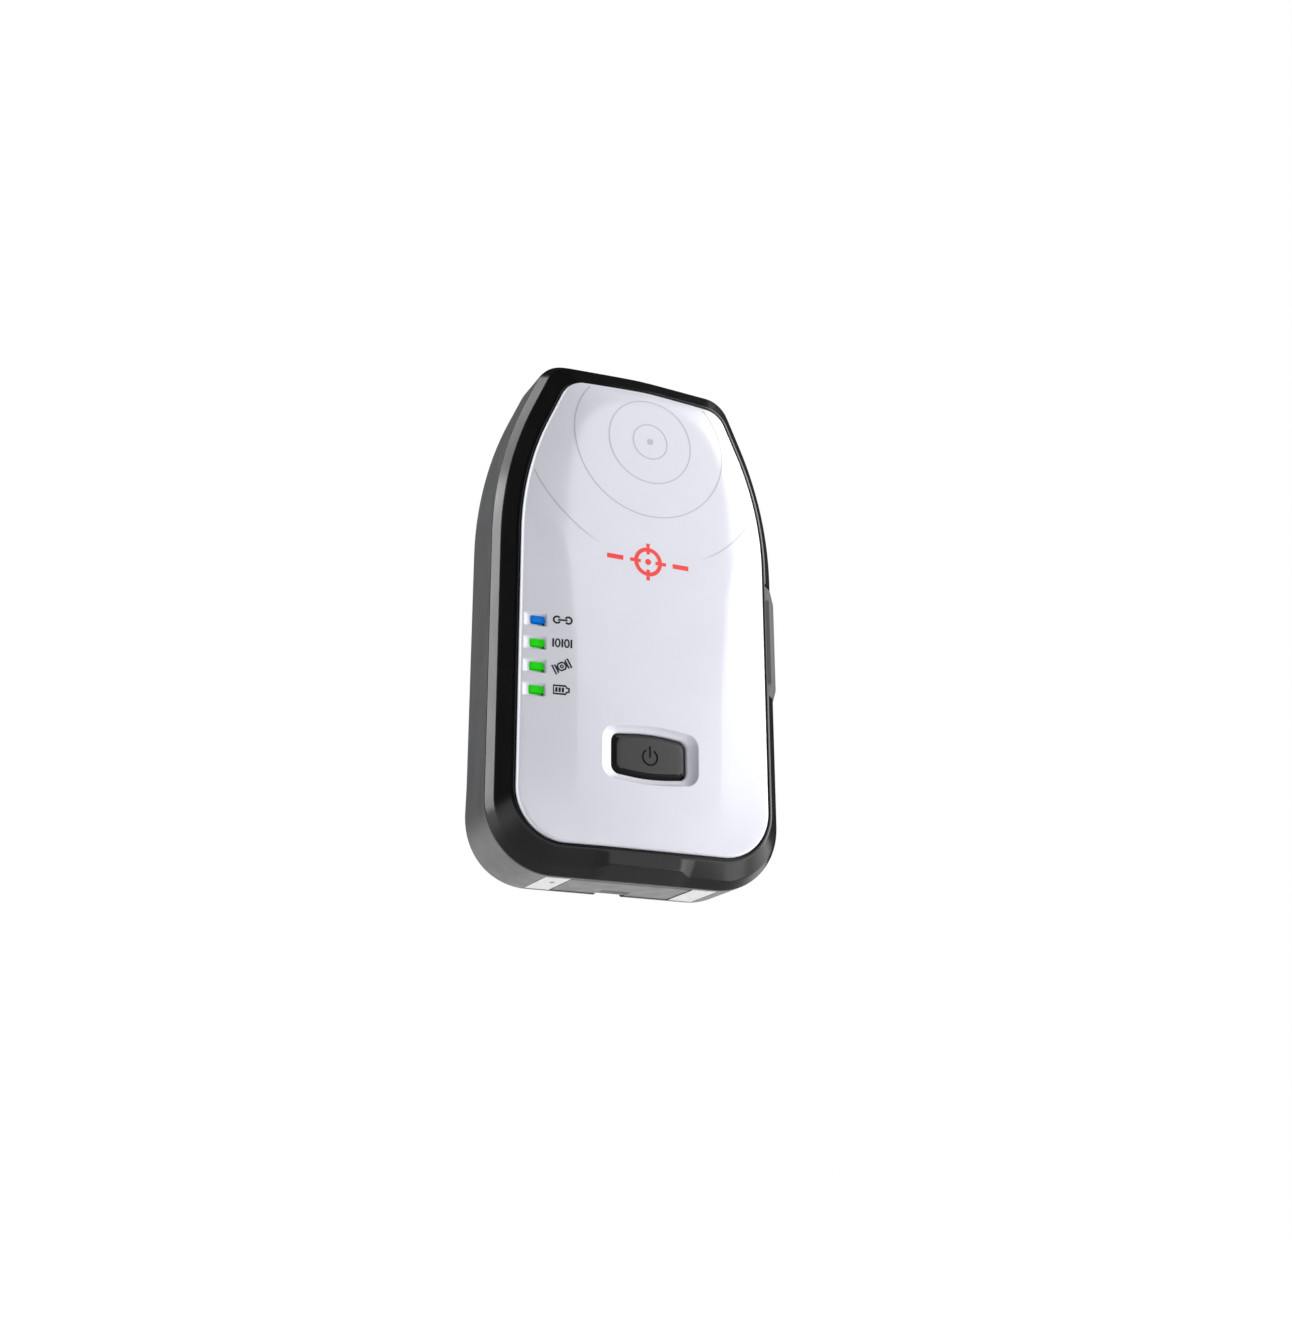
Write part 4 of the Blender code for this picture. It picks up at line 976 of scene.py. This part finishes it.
# ---- port cover ----
PORT_Z = node_centre("usb_connector").z
COVER_AXIS = tuple(node_centre("port_cover_pin"))[:2]
COVER_PROUD = COVER_HIGH.x - BODY_HALF_WIDTH
COVER_Z = (COVER_LOW.z, COVER_LOW.z + 3.3, COVER_HIGH.z - 4.6, COVER_HIGH.z)
COVER_SKIN = [
    ((37.6, -10.15), (0.0, 0.0)),
    ((38.3, -9.55), (0.667, -0.745)),
    ((40.8, SLOPE_Y), (0.80, -0.55)),
    ((BODY_HALF_WIDTH, STRIP_Y), (0.96, -0.25)),
]
COVER_INSIDE = [(40.9, 3.6), (40.9, -3.6), (39.7, -6.4), (38.5, -8.0)]


def cover_section(proud):
    """The cover's section in x, y; proud is how far it stands out, from 0 to 1."""
    radius = BODY_HALF_WIDTH - COVER_AXIS[0] + COVER_PROUD * proud
    points = []
    for (x, y), (out_x, out_y) in COVER_SKIN:
        points.append((x + out_x * COVER_PROUD * proud, y + out_y * COVER_PROUD * proud))
    return points + arc(COVER_AXIS, radius, 0, 180, 12) + COVER_INSIDE


def cover_pocket(name):
    """Room for the cover: its inner side and its hinge barrel, open towards the outside."""
    hinge_x, hinge_y = COVER_AXIS
    barrel = BODY_HALF_WIDTH - hinge_x + COVER_PROUD + GAP
    section = [(37.2, -12.5), (60.0, -12.5), (60.0, hinge_y + barrel), (hinge_x, hinge_y + barrel)]
    section += arc(COVER_AXIS, barrel, 101.25, 180, 7)
    section += [(hinge_x - barrel, STRIP_Y - 0.6), (38.1, -7.6), (37.2, -9.9)]
    return prism(name, section, "z", COVER_Z[0] - GAP, COVER_Z[-1] + GAP)


def make_port_cover():
    low, ramp_low, ramp_high, high = COVER_Z
    stations = [(low, 0.0), (ramp_low - 0.35, 0.9), (ramp_low, 0.985), (ramp_low + 0.5, 1.0),
                ((ramp_low + ramp_high) / 2, 1.0), (ramp_high - 0.5, 1.0), (ramp_high, 0.985),
                (ramp_high + 0.45, 0.9), (high, 0.0)]
    rings = [[(x, y, z) for x, y in cover_section(proud)] for z, proud in stations]
    cover = loft("cover_shell", rings, RUBBER, sharp=24.0)
    plug = block("cover_plug", (39.2, -1.6, PORT_Z - 5.2), (41.2, 3.2, PORT_Z + 5.2), None, 0.4)
    combine(cover, [plug], "UNION")
    bore = pin_bore("cover_bore", COVER_AXIS, 0.8, "z", 50.0, 92.0, 20)
    combine(cover, [bore])
    return soften(cover, 0.16, 24.0)


# ---- rear housing ----
CASE_SCREWS = [node_centre(f"case_screw_{number}") for number in range(1, 5)]
INSERT = node_centre("thread_insert")
VENT = node_centre("vent_plug")
LABEL_LOW, LABEL_HIGH = box_mm("rear_label")
PORT_LOW, PORT_HIGH = box_mm("usb_connector")
PLATES = [box_mm("bottom_plate_left"), box_mm("bottom_plate_right")]
DOOR_AXIS = tuple(node_centre("battery_door_pin"))[1:]
NOTCH = 4.2                         # half-width of the finger-nail notch behind the battery door


def back_round(point):
    """Depth of the rounding at the back: deep on the sides and top, shallow along the bottom."""
    return 2.4 + 5.6 * float(smoothstep(point.y / 24.0))


def housing_wall(sides, backs, back_y, turns, start_limit=BODY_BACK):
    """Rings that round the wall from its sides to its flat back."""
    rings = []
    for turn in turns:
        angle = turn * math.pi / 2
        ring = []
        for body, side, back in zip(BODY_EDGE, sides, backs):
            start = min(BODY_BACK - back_round(body), start_limit)
            spot = side.lerp(back, 1 - math.cos(angle))
            ring.append((spot.x, start + (back_y - start) * math.sin(angle), spot.y))
        rings.append(ring)
    return rings


def screw_posts(radius, low_y, high_y, sides):
    """A round post on the line of every case screw."""
    profile = [(0.0, low_y), (radius, low_y), (radius, high_y), (0.0, high_y)]
    return merge([lathe("post", (screw.x, 0.0, screw.z), "y", profile, None, sides)
                  for screw in CASE_SCREWS])


def make_rear_housing():
    bm = bmesh.new()
    turns = [i / 10 for i in range(11)]
    outside = housing_wall(BODY_EDGE, BACK_EDGE, BODY_BACK, turns)
    inner_side = offset(BODY_EDGE, -WALL)
    inner_back = offset(BACK_EDGE, -1.0)
    inside_rings = housing_wall(inner_side, inner_back, FLOOR_Y, turns[::2], FLOOR_Y - 0.4)

    holes = [circle((INSERT.x, INSERT.z), 4.5, 40), circle((VENT.x, VENT.z), 3.3, 32)]
    label = rectangle_loop(LABEL_LOW.x - GAP, LABEL_HIGH.x + GAP, LABEL_LOW.z - GAP,
                           LABEL_HIGH.z + GAP, 1.2, 5)
    holes.append(label)
    wide = [offset(hole, 0.25) for hole in holes]
    back = fill_sheet(bm, BACK_EDGE, wide, level(BODY_BACK), 4.0)
    boss = circle((INSERT.x, INSERT.z), 6.2, 40)
    inner = fill_sheet(bm, inner_back, [boss, holes[1]], level(FLOOR_Y), 5.0)

    outer_last = extend(bm, back[0], outside[-2::-1])
    rim = [ring_at(offset(BODY_EDGE, -inset), RIM_Y + depth)
           for inset, depth in ((0.0, 0.25), (0.07, 0.07), (0.25, 0.0), (WALL, 0.0))]
    outer_last = extend(bm, outer_last, rim)
    inner_last = extend(bm, inner[0], inside_rings[-2::-1])
    skin(bm, outer_last, inner_last)

    rolls = [rolled(start, [BODY_BACK] * len(start), end, 0.25, 3) for start, end in zip(wide, holes)]
    insert_floor, boss_front = 7.6, 6.4
    bm.faces.new(extend(bm, back[1], rolls[0] + [ring_at(holes[0], insert_floor)]))
    bm.faces.new(extend(bm, inner[1], [ring_at(boss, boss_front)]))
    skin(bm, extend(bm, back[2], rolls[1]), inner[2])
    bm.faces.new(extend(bm, back[3], rolls[2] + [ring_at(label, BODY_BACK - 0.7)]))
    shell = finish(bm, "housing_shell", HOUSING_GREY, 35.0)

    ears = []
    for low_x, high_x in ((-20.6, -DOOR_HIGH.x - GAP), (DOOR_HIGH.x + GAP, 20.6)):
        ears.append(block("ear", (low_x, -3.8, 0.9), (high_x, 1.4, 4.4)))
    port_wall = block("port_wall", (36.9, RIM_Y + 0.2, 51.5), (41.9, 9.3, 91.0))
    towers = screw_posts(3.6, RIM_Y + 0.3, 13.8, 28)
    combine(shell, [merge([port_wall, *ears]), towers], "UNION")
    counterbores = screw_posts(2.4, 1.0, 20.0, 28)
    screw_bores = screw_posts(1.35, -8.0, 2.0, 24)
    combine(shell, [counterbores, screw_bores])
    window = block("port_window", (35.0, -0.9, PORT_Z - 4.9), (40.0, 2.9, PORT_Z + 4.9), None, 0.9)
    opening = block("door_opening", (DOOR_LOW.x - GAP, -3.35, -1.0),
                    (DOOR_HIGH.x + GAP, DOOR_HIGH.y + GAP, 4.6))
    pockets = [block("plate_pocket", (low.x - GAP, low.y - GAP, -1.0), (high.x + GAP, high.y + GAP, 0.85))
               for low, high in PLATES]
    nail_notch = block("nail_notch", (-NOTCH, DOOR_HIGH.y - 0.5, -1.0), (NOTCH, BODY_BACK + 1.0, 1.6),
                       None, 0.3)
    combine(shell, [cover_pocket("housing_pocket"), merge([window, opening]), merge(pockets), nail_notch])
    pins = [pin_bore("cover_pin_bore", COVER_AXIS, 0.75, "z", 52.8, 89.8),
            pin_bore("door_pin_bore", DOOR_AXIS, 0.7, "x", -20.0, 20.0)]
    combine(shell, [merge(pins)])
    smooth(shell.data, 32.0)
    return weigh_normals(shell)


# ---- power button ----
def power_symbol():
    """Two loops of the engraved symbol: an open ring and the bar in its gap."""
    centre = (0.0, BUTTON_Z - 0.25)
    outer = arc(centre, 2.35, 122, 418, 44)
    inner = arc(centre, 1.85, 418, 122, 44)
    bar = [(-0.25, -0.35), (0.25, -0.35), (0.25, 2.75), (-0.25, 2.75)]
    return [outer + inner, [Vector((x, BUTTON_Z + z)) for x, z in bar]]


def make_power_button():
    top_y = BUTTON_LOW.y
    flange_front, flange_back = -10.4, -9.4
    symbol = power_symbol()
    face = button_shape(-1.5, 1.7)
    bm = bmesh.new()

    def crown(xs, zs):
        return top_y + 0.0012 * xs ** 2 + 0.002 * (zs - BUTTON_Z) ** 2

    def crown_ring(loop, shift):
        return at_depths(loop, crown(*np.array([tuple(point) for point in loop]).T) + shift)

    sheet = fill_sheet(bm, face, symbol, crown, 1.2)
    for loop, verts in zip(symbol, sheet[1:]):
        bm.faces.new(extend(bm, verts, [crown_ring(loop, 0.22)]))
    bands = [(-1.3, 1.8, top_y + 0.16), (-1.1, 1.95, top_y + 0.32), (-0.3, 2.4, top_y + 1.1),
             (-0.08, 2.48, top_y + 1.35), (0.0, 2.5, top_y + 1.7), (0.0, 2.5, flange_front)]
    rings = [ring_at(button_shape(grow, radius), y) for grow, radius, y in bands]
    last = extend(bm, sheet[0], rings)
    flange = rounded_rectangle(BUTTON_SIZE[0] + 2.6, BUTTON_SIZE[1] + 2.4, 3.2, BUTTON_BOW)
    flange = shifted(flange, BUTTON_Z)
    last = extend(bm, last, [ring_at(flange, flange_front), ring_at(flange, flange_back)])
    bm.faces.new(last)
    cap = finish(bm, "button_cap", BUTTON_GREY, 40.0)
    stem = block("button_stem", (-3.5, -9.9, BUTTON_Z - 2.0), (3.5, -7.6, BUTTON_Z + 2.0))
    combine(cap, [stem], "UNION")
    smooth(cap.data, 40.0)
    # Faces turned to the left and downwards take the near-black material: painted shade on the bevels that
    # face away from the lamps.
    cap.data.materials.append(SYMBOL_AND_SHADE_BLACK)
    for polygon in cap.data.polygons:
        normal = polygon.normal
        polygon.material_index = int(normal.y > -0.97 and normal.x + normal.z < 0.15)
    weigh_normals(cap)

    # A near-black sheet lies at the floor of the engraved symbol.
    bm = bmesh.new()
    for loop in symbol:
        for verts in skin_rings(bm, [crown_ring(loop, 0.2), crown_ring(loop, 0.23)]):
            bm.faces.new(verts)
    dark_floor = finish(bm, "button_symbol_dark_floor", SYMBOL_AND_SHADE_BLACK)
    return cap, dark_floor


# ---- status lights ----
def make_lens(number):
    low, high = box_mm(f"led_lens_{number}")
    rings = []
    for inset, depth in ((1.0, -0.05), (0.35, 0.0), (0.1, 0.06), (0.0, 0.22)):
        shape = rectangle_loop(low.x + inset, high.x - inset, low.z + 0.35 + inset * 0.75,
                               high.z + 0.1 - inset * 0.75, max(0.42 - inset * 0.3, 0.08), 4)
        rings.append(ring_at(shape, low.y + 0.05 + depth))
    rings.append(ring_at(shape, high.y))
    mat = LENS_BLUE if number == 1 else LENS_GREEN
    return loft(f"light_window_{number}", rings, mat, sharp=40.0)


# ---- battery door, plates and fasteners ----
def make_battery_door():
    axis_y, axis_z = DOOR_AXIS
    radius = axis_z - DOOR_LOW.z
    section = [(DOOR_HIGH.y, DOOR_LOW.z), (DOOR_HIGH.y, 2.1), (axis_y + radius + 0.3, 2.1)]
    section += arc(DOOR_AXIS, radius, 20, 270, 20)
    door = prism("door_shell", section, "x", DOOR_LOW.x, DOOR_HIGH.x, HOUSING_GREY)
    notch = block("door_notch", (-NOTCH, DOOR_HIGH.y - 0.9, -1.0), (NOTCH, DOOR_HIGH.y + 1.0, 3.0),
                  None, 0.3)
    bore = pin_bore("door_bore", DOOR_AXIS, 0.75, "x", -30.0, 30.0)
    grooves = []
    for i in range(3):
        y = DOOR_HIGH.y - 2.3 - 1.1 * i
        grooves.append(block("groove", (-NOTCH, y - 0.25, -1.0), (NOTCH, y + 0.25, 0.45), None, 0.1))
    combine(door, [notch, bore, merge(grooves)])
    return soften(door, 0.14, 40.0)


def make_plate(number, side):
    low, high = PLATES[number]
    plate = block(f"contact_plate_{side}", low, high, PLATE, 0.12)
    if side == "left":
        dimple = [(0.0, 0.0), (1.1, 0.0), (0.75, 0.45), (0.0, 0.5)]
        tools = [lathe("dimple", (-20.6, 2.9, -0.2), "z", dimple, None, 24)]
    else:
        dot = [(0.0, 0.0), (0.4, 0.0), (0.4, 0.5), (0.0, 0.5)]
        tools = [lathe("dot", (x, 8.2, -0.2), "z", dot, None, 20) for x in (21.9, 23.3)]
    combine(plate, [merge(tools)])
    return soften(plate, 0.05, 40.0)


def make_case_screw(number):
    """A pan head with a six-lobed socket, seen down its counterbore."""
    low, high = box_mm(f"case_screw_{number}")
    centre = ((low.x + high.x) / 2, (low.z + high.z) / 2)
    radius = (high.x - low.x) / 2
    top = high.y
    angles = [2 * math.pi * i / 36 for i in range(36)]
    lobes = [polar(centre, radius * (0.44 + 0.07 * math.cos(6 * angle)), angle) for angle in angles]
    bands = [(1.05, low.y), (1.05, top - 1.7), (radius, top - 1.7), (radius, top - 0.7),
             (radius * 0.94, top - 0.3), (radius * 0.78, top - 0.05), (radius * 0.62, top)]
    rings = [ring_at(circle(centre, r, 36), y) for r, y in bands]
    rings += [ring_at(lobes, top), ring_at(lobes, top - 0.9)]
    return loft(f"socket_screw_{number}", rings, STEEL, sharp=40.0)


def make_thread_insert():
    """Brass insert with a real helical thread: 20 turns to the inch, cut 0.55 mm deep."""
    low, high = box_mm("thread_insert")
    pitch, root, depth = 1.27, 3.27, 0.55
    centre = (INSERT.x, INSERT.z)
    sides = 36
    flange = [(4.2, low.y), (4.2, high.y - 0.2), (4.0, high.y), (3.25, high.y)]
    rings = [ring_at(circle(centre, radius, sides), y) for radius, y in flange]
    length = high.y - low.y - 0.3
    steps = int(length / pitch * 10)
    for step in range(steps + 1):
        y = high.y - 0.25 - length * step / steps
        ring = []
        for i in range(sides):
            phase = (y / pitch + i / sides) % 1.0
            ring.append(polar(centre, root - depth * (1 - abs(2 * phase - 1)), 2 * math.pi * i / sides))
        rings.append(ring_at(ring, y))
    rings.append(ring_at(circle(centre, 3.2, sides), low.y))
    return loft("threaded_insert", rings, BRASS, closed=True, sharp=40.0)


def make_vent():
    """Pressure vent: a low cap with a ring of slots round its rim."""
    low, high = box_mm("vent_plug")
    profile = [(0.0, 0.0), (3.0, 0.0), (3.0, 1.9), (2.85, 2.15), (2.5, 2.2), (2.35, 1.9), (2.0, 1.9),
               (1.85, 2.3), (1.5, 2.45), (0.0, 2.5)]
    cap = lathe("vent_cap", (VENT.x, low.y, VENT.z), "y", profile, TRAY_BLACK, 48)
    slots = []
    for i in range(6):
        x, z = polar((VENT.x, VENT.z), 2.42, math.radians(60 * i))
        slots.append(block("slot", (x - 0.3, high.y - 0.7, z - 0.3), (x + 0.3, high.y + 0.6, z + 0.3)))
    combine(cap, [merge(slots)])
    return weigh_normals(cap)


def make_label():
    """A blank plate with a fine groove near its edge."""
    low, high = LABEL_LOW, LABEL_HIGH
    edge, groove_out, groove_in = [
        rectangle_loop(low.x + inset, high.x - inset, low.z + inset, high.z - inset, radius, 5)
        for inset, radius in ((0.0, 1.0), (0.9, 0.7), (1.3, 0.5))]
    places = [(edge, low.y), (edge, high.y - 0.06), (offset(edge, -0.06), high.y), (groove_out, high.y),
              (groove_out, high.y - 0.08), (groove_in, high.y - 0.08), (groove_in, high.y)]
    return loft("blank_label", [ring_at(loop, y) for loop, y in places], LABEL_FILM, sharp=40.0)


def make_usb_connector():
    """The socket's drawn shell, its tongue and the contacts on it."""
    low, high = PORT_LOW, PORT_HIGH
    middle_y, middle_z = (low.y + high.y) / 2, (low.z + high.z) / 2
    height, width = high.y - low.y, high.z - low.z

    def section(inset):
        loop = rectangle_loop(-height / 2 + inset, height / 2 - inset, -width / 2 + inset,
                              width / 2 - inset, height / 2 - inset - 0.02, 8)
        return [(middle_y + p.x, middle_z + p.y) for p in loop]

    stations = [(0.0, low.x), (0.0, high.x - 0.1), (0.06, high.x), (0.34, high.x), (0.4, high.x - 0.1),
                (0.4, low.x + 3.0)]
    rings = [[(x, y, z) for y, z in section(inset)] for inset, x in stations]
    shell = loft("usb_shell", rings, TIN, sharp=35.0)
    tongue = block("usb_tongue", (low.x + 2.8, middle_y - 0.35, middle_z - 3.1),
                   (high.x - 0.8, middle_y + 0.35, middle_z + 3.1), CHIP_BLACK, 0.12)
    pins = []
    for i in range(12):
        z = middle_z - 2.75 + 0.5 * i
        pins.append(block("usb_pin", (low.x + 3.5, middle_y - 0.4, z - 0.13),
                          (high.x - 1.1, middle_y - 0.33, z + 0.13)))
    contacts = merge(pins)
    contacts.name = "usb_contacts"
    contacts.data.materials.append(BRASS)
    return shell, tongue, contacts


# ---- assembly ----
def place(obj, body, replaced=()):
    """Rides a piece on its body and hides the CAD nodes it replaces."""
    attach(obj, body)
    if replaced:
        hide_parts(*replaced)


place(make_front_panel(), "body", ["front_panel"])
place(make_front_frame(), "body", ["front_frame"])
place(make_rear_housing(), "body", ["rear_housing"])
place(make_port_cover(), "port_cover", ["port_cover"])
for pieces, slot in ((make_rings(), "panel_white"), (make_icons(), "chip_black"),
                     (make_front_mark(), "lens_green")):
    for piece in pieces:
        place(piece, "body")
CAP, SYMBOL_DARK_FLOOR = make_power_button()
place(CAP, "power_button", ["power_button"])
place(SYMBOL_DARK_FLOOR, "power_button")
for number in range(1, 5):
    place(make_lens(number), "body", [f"led_lens_{number}"])
    place(make_case_screw(number), "body", [f"case_screw_{number}"])
place(make_battery_door(), "battery_door", ["battery_door"])
for number, side in enumerate(("left", "right")):
    place(make_plate(number, side), "body", [f"bottom_plate_{side}"])
place(make_thread_insert(), "body", ["thread_insert"])
place(make_vent(), "body", ["vent_plug"])
place(make_label(), "body", ["rear_label"])
SHELL, TONGUE, CONTACTS = make_usb_connector()
place(SHELL, "body", ["usb_connector"])
place(TONGUE, "body")
place(CONTACTS, "body")

CARRIED = {
    "seal_rubber": SEAL, "screw_steel": STEEL, "brass": BRASS, "board_green": BOARD, "shield_tin": TIN,
    "patch_ceramic": CERAMIC, "battery_wrap": WRAP, "tray_black": TRAY_BLACK, "chip_white": CHIP_WHITE,
    "chip_black": CHIP_BLACK,
}
for entry in frame["record"]["subparts"]:
    node = frame["nodes"][entry["node"]]
    if entry["material_slot"] in CARRIED and not node.hide_render:
        node.data.materials.clear()
        node.data.materials.append(CARRIED[entry["material_slot"]])


# ---- stage ----
FLOOR_Z = -0.125
FLOOR_COLOUR = 0.4
FLOOR_GLOW = (0.1, 1.1)             # light given off by the floor under the object and far from it; the low value under and in front of the object is a painted shadow
GLOW_REACH = (0.16, 0.45)           # metres from the painted shadow's centre between which the glow grows
# centre of the painted shadow on the floor, just in front of the object
PAINTED_SHADOW_CENTRE = (0.0, -0.12, 0.0)
LIGHT_TARGET = (0.0, 0.0, 0.07)
WORLD_LIGHT = 0.03                  # what the backdrop adds to the lamps; the camera sees it white
LIGHTS = {
    # name: (degrees round from the front to the right, degrees up, distance, width, height, power)
    "key": (75.0, 10.0, 0.9, 0.7, 0.9, 9.0),
    "key_front": (52.0, 20.0, 0.9, 0.7, 0.8, 3.6),
    "key_high": (75.0, 48.0, 0.9, 0.5, 0.5, 2.6),
    "left": (-103.0, 17.0, 0.9, 0.28, 0.7, 5.5),
    "left_high": (-115.0, 47.0, 0.9, 0.4, 0.5, 3.0),
    "left_low": (-100.0, -5.0, 0.8, 0.4, 0.1, 0.3),
    "under": (55.0, -45.0, 0.2, 0.11, 0.11, 0.08),
}


def make_floor():
    """A pale floor that glows softly; its glow is least under and in front of the object, as a painted
    shadow.
    """
    bm = bmesh.new()
    bmesh.ops.create_circle(bm, cap_ends=True, radius=6.0, segments=96)
    floor = finish(bm, "floor", None)
    floor.location.z = FLOOR_Z
    s = Shader("pale_floor", (FLOOR_COLOUR,) * 3, 0.9)
    s.set("Specular IOR Level", 0.1)
    s.set("Emission Color", (1.0, 1.0, 1.0, 1.0))
    # The glow grows with distance from the painted shadow's centre, so the floor is darker under and in
    # front of the object.
    reach = s.nodes.new("ShaderNodeVectorMath")
    reach.operation = "DISTANCE"
    reach.inputs[1].default_value = PAINTED_SHADOW_CENTRE
    s.links.new(s.place, reach.inputs[0])
    s.link("Emission Strength", s.spread(reach.outputs["Value"], *FLOOR_GLOW, GLOW_REACH, "SMOOTHSTEP"))
    floor.data.materials.append(s.mat)


def make_world():
    """A white backdrop that adds little light of its own."""
    world = bpy.data.worlds.new("studio")
    bpy.context.scene.world = world
    world.use_nodes = True
    nodes, links = world.node_tree.nodes, world.node_tree.links
    background = nodes["Background"]
    background.inputs["Color"].default_value = (1.0, 1.0, 1.0, 1.0)
    path = nodes.new("ShaderNodeLightPath")
    choose = nodes.new("ShaderNodeMix")
    choose.data_type = "FLOAT"
    links.new(path.outputs["Is Camera Ray"], choose.inputs[0])
    choose.inputs[2].default_value = WORLD_LIGHT
    choose.inputs[3].default_value = 1.0
    links.new(choose.outputs[0], background.inputs["Strength"])


def make_lights():
    target = Vector(LIGHT_TARGET)
    for name, (turn, rise, distance, width, height, power) in LIGHTS.items():
        light = bpy.data.lights.new(name, "AREA")
        light.shape = "RECTANGLE"
        light.size = width
        light.size_y = height
        light.energy = power
        obj = bpy.data.objects.new(name, light)
        bpy.context.scene.collection.objects.link(obj)
        a, e = math.radians(turn), math.radians(rise)
        way = Vector((math.sin(a) * math.cos(e), -math.cos(a) * math.cos(e), math.sin(e)))
        obj.location = target + way * distance
        obj.rotation_euler = way.to_track_quat("Z", "Y").to_euler()
        obj.visible_camera = False


CAMERA_PLACE = (-0.1786, -0.3897, -0.0846)
CAMERA_BACK = (-0.4039, -0.8564, -0.3214)
CAMERA_ROLL = math.radians(-0.21)
CAMERA_LENS = 44.53


def make_camera():
    back = Vector(CAMERA_BACK).normalized()
    right = (-back).cross(Vector((0, 0, 1))).normalized()
    up = right.cross(-back)
    turned_right = right * math.cos(CAMERA_ROLL) + up * math.sin(CAMERA_ROLL)
    turned_up = up * math.cos(CAMERA_ROLL) - right * math.sin(CAMERA_ROLL)
    data = bpy.data.cameras.new("camera")
    data.lens = CAMERA_LENS
    data.sensor_width = 36.0
    data.clip_start = 0.01
    camera = bpy.data.objects.new("camera", data)
    bpy.context.scene.collection.objects.link(camera)
    turn = Matrix((turned_right, turned_up, back)).transposed()
    camera.matrix_world = Matrix.Translation(CAMERA_PLACE) @ turn.to_4x4()
    bpy.context.scene.camera = camera


make_floor()
make_world()
make_lights()
make_camera()
bpy.context.scene.view_settings.view_transform = "Standard"

bpy.context.view_layer.update()
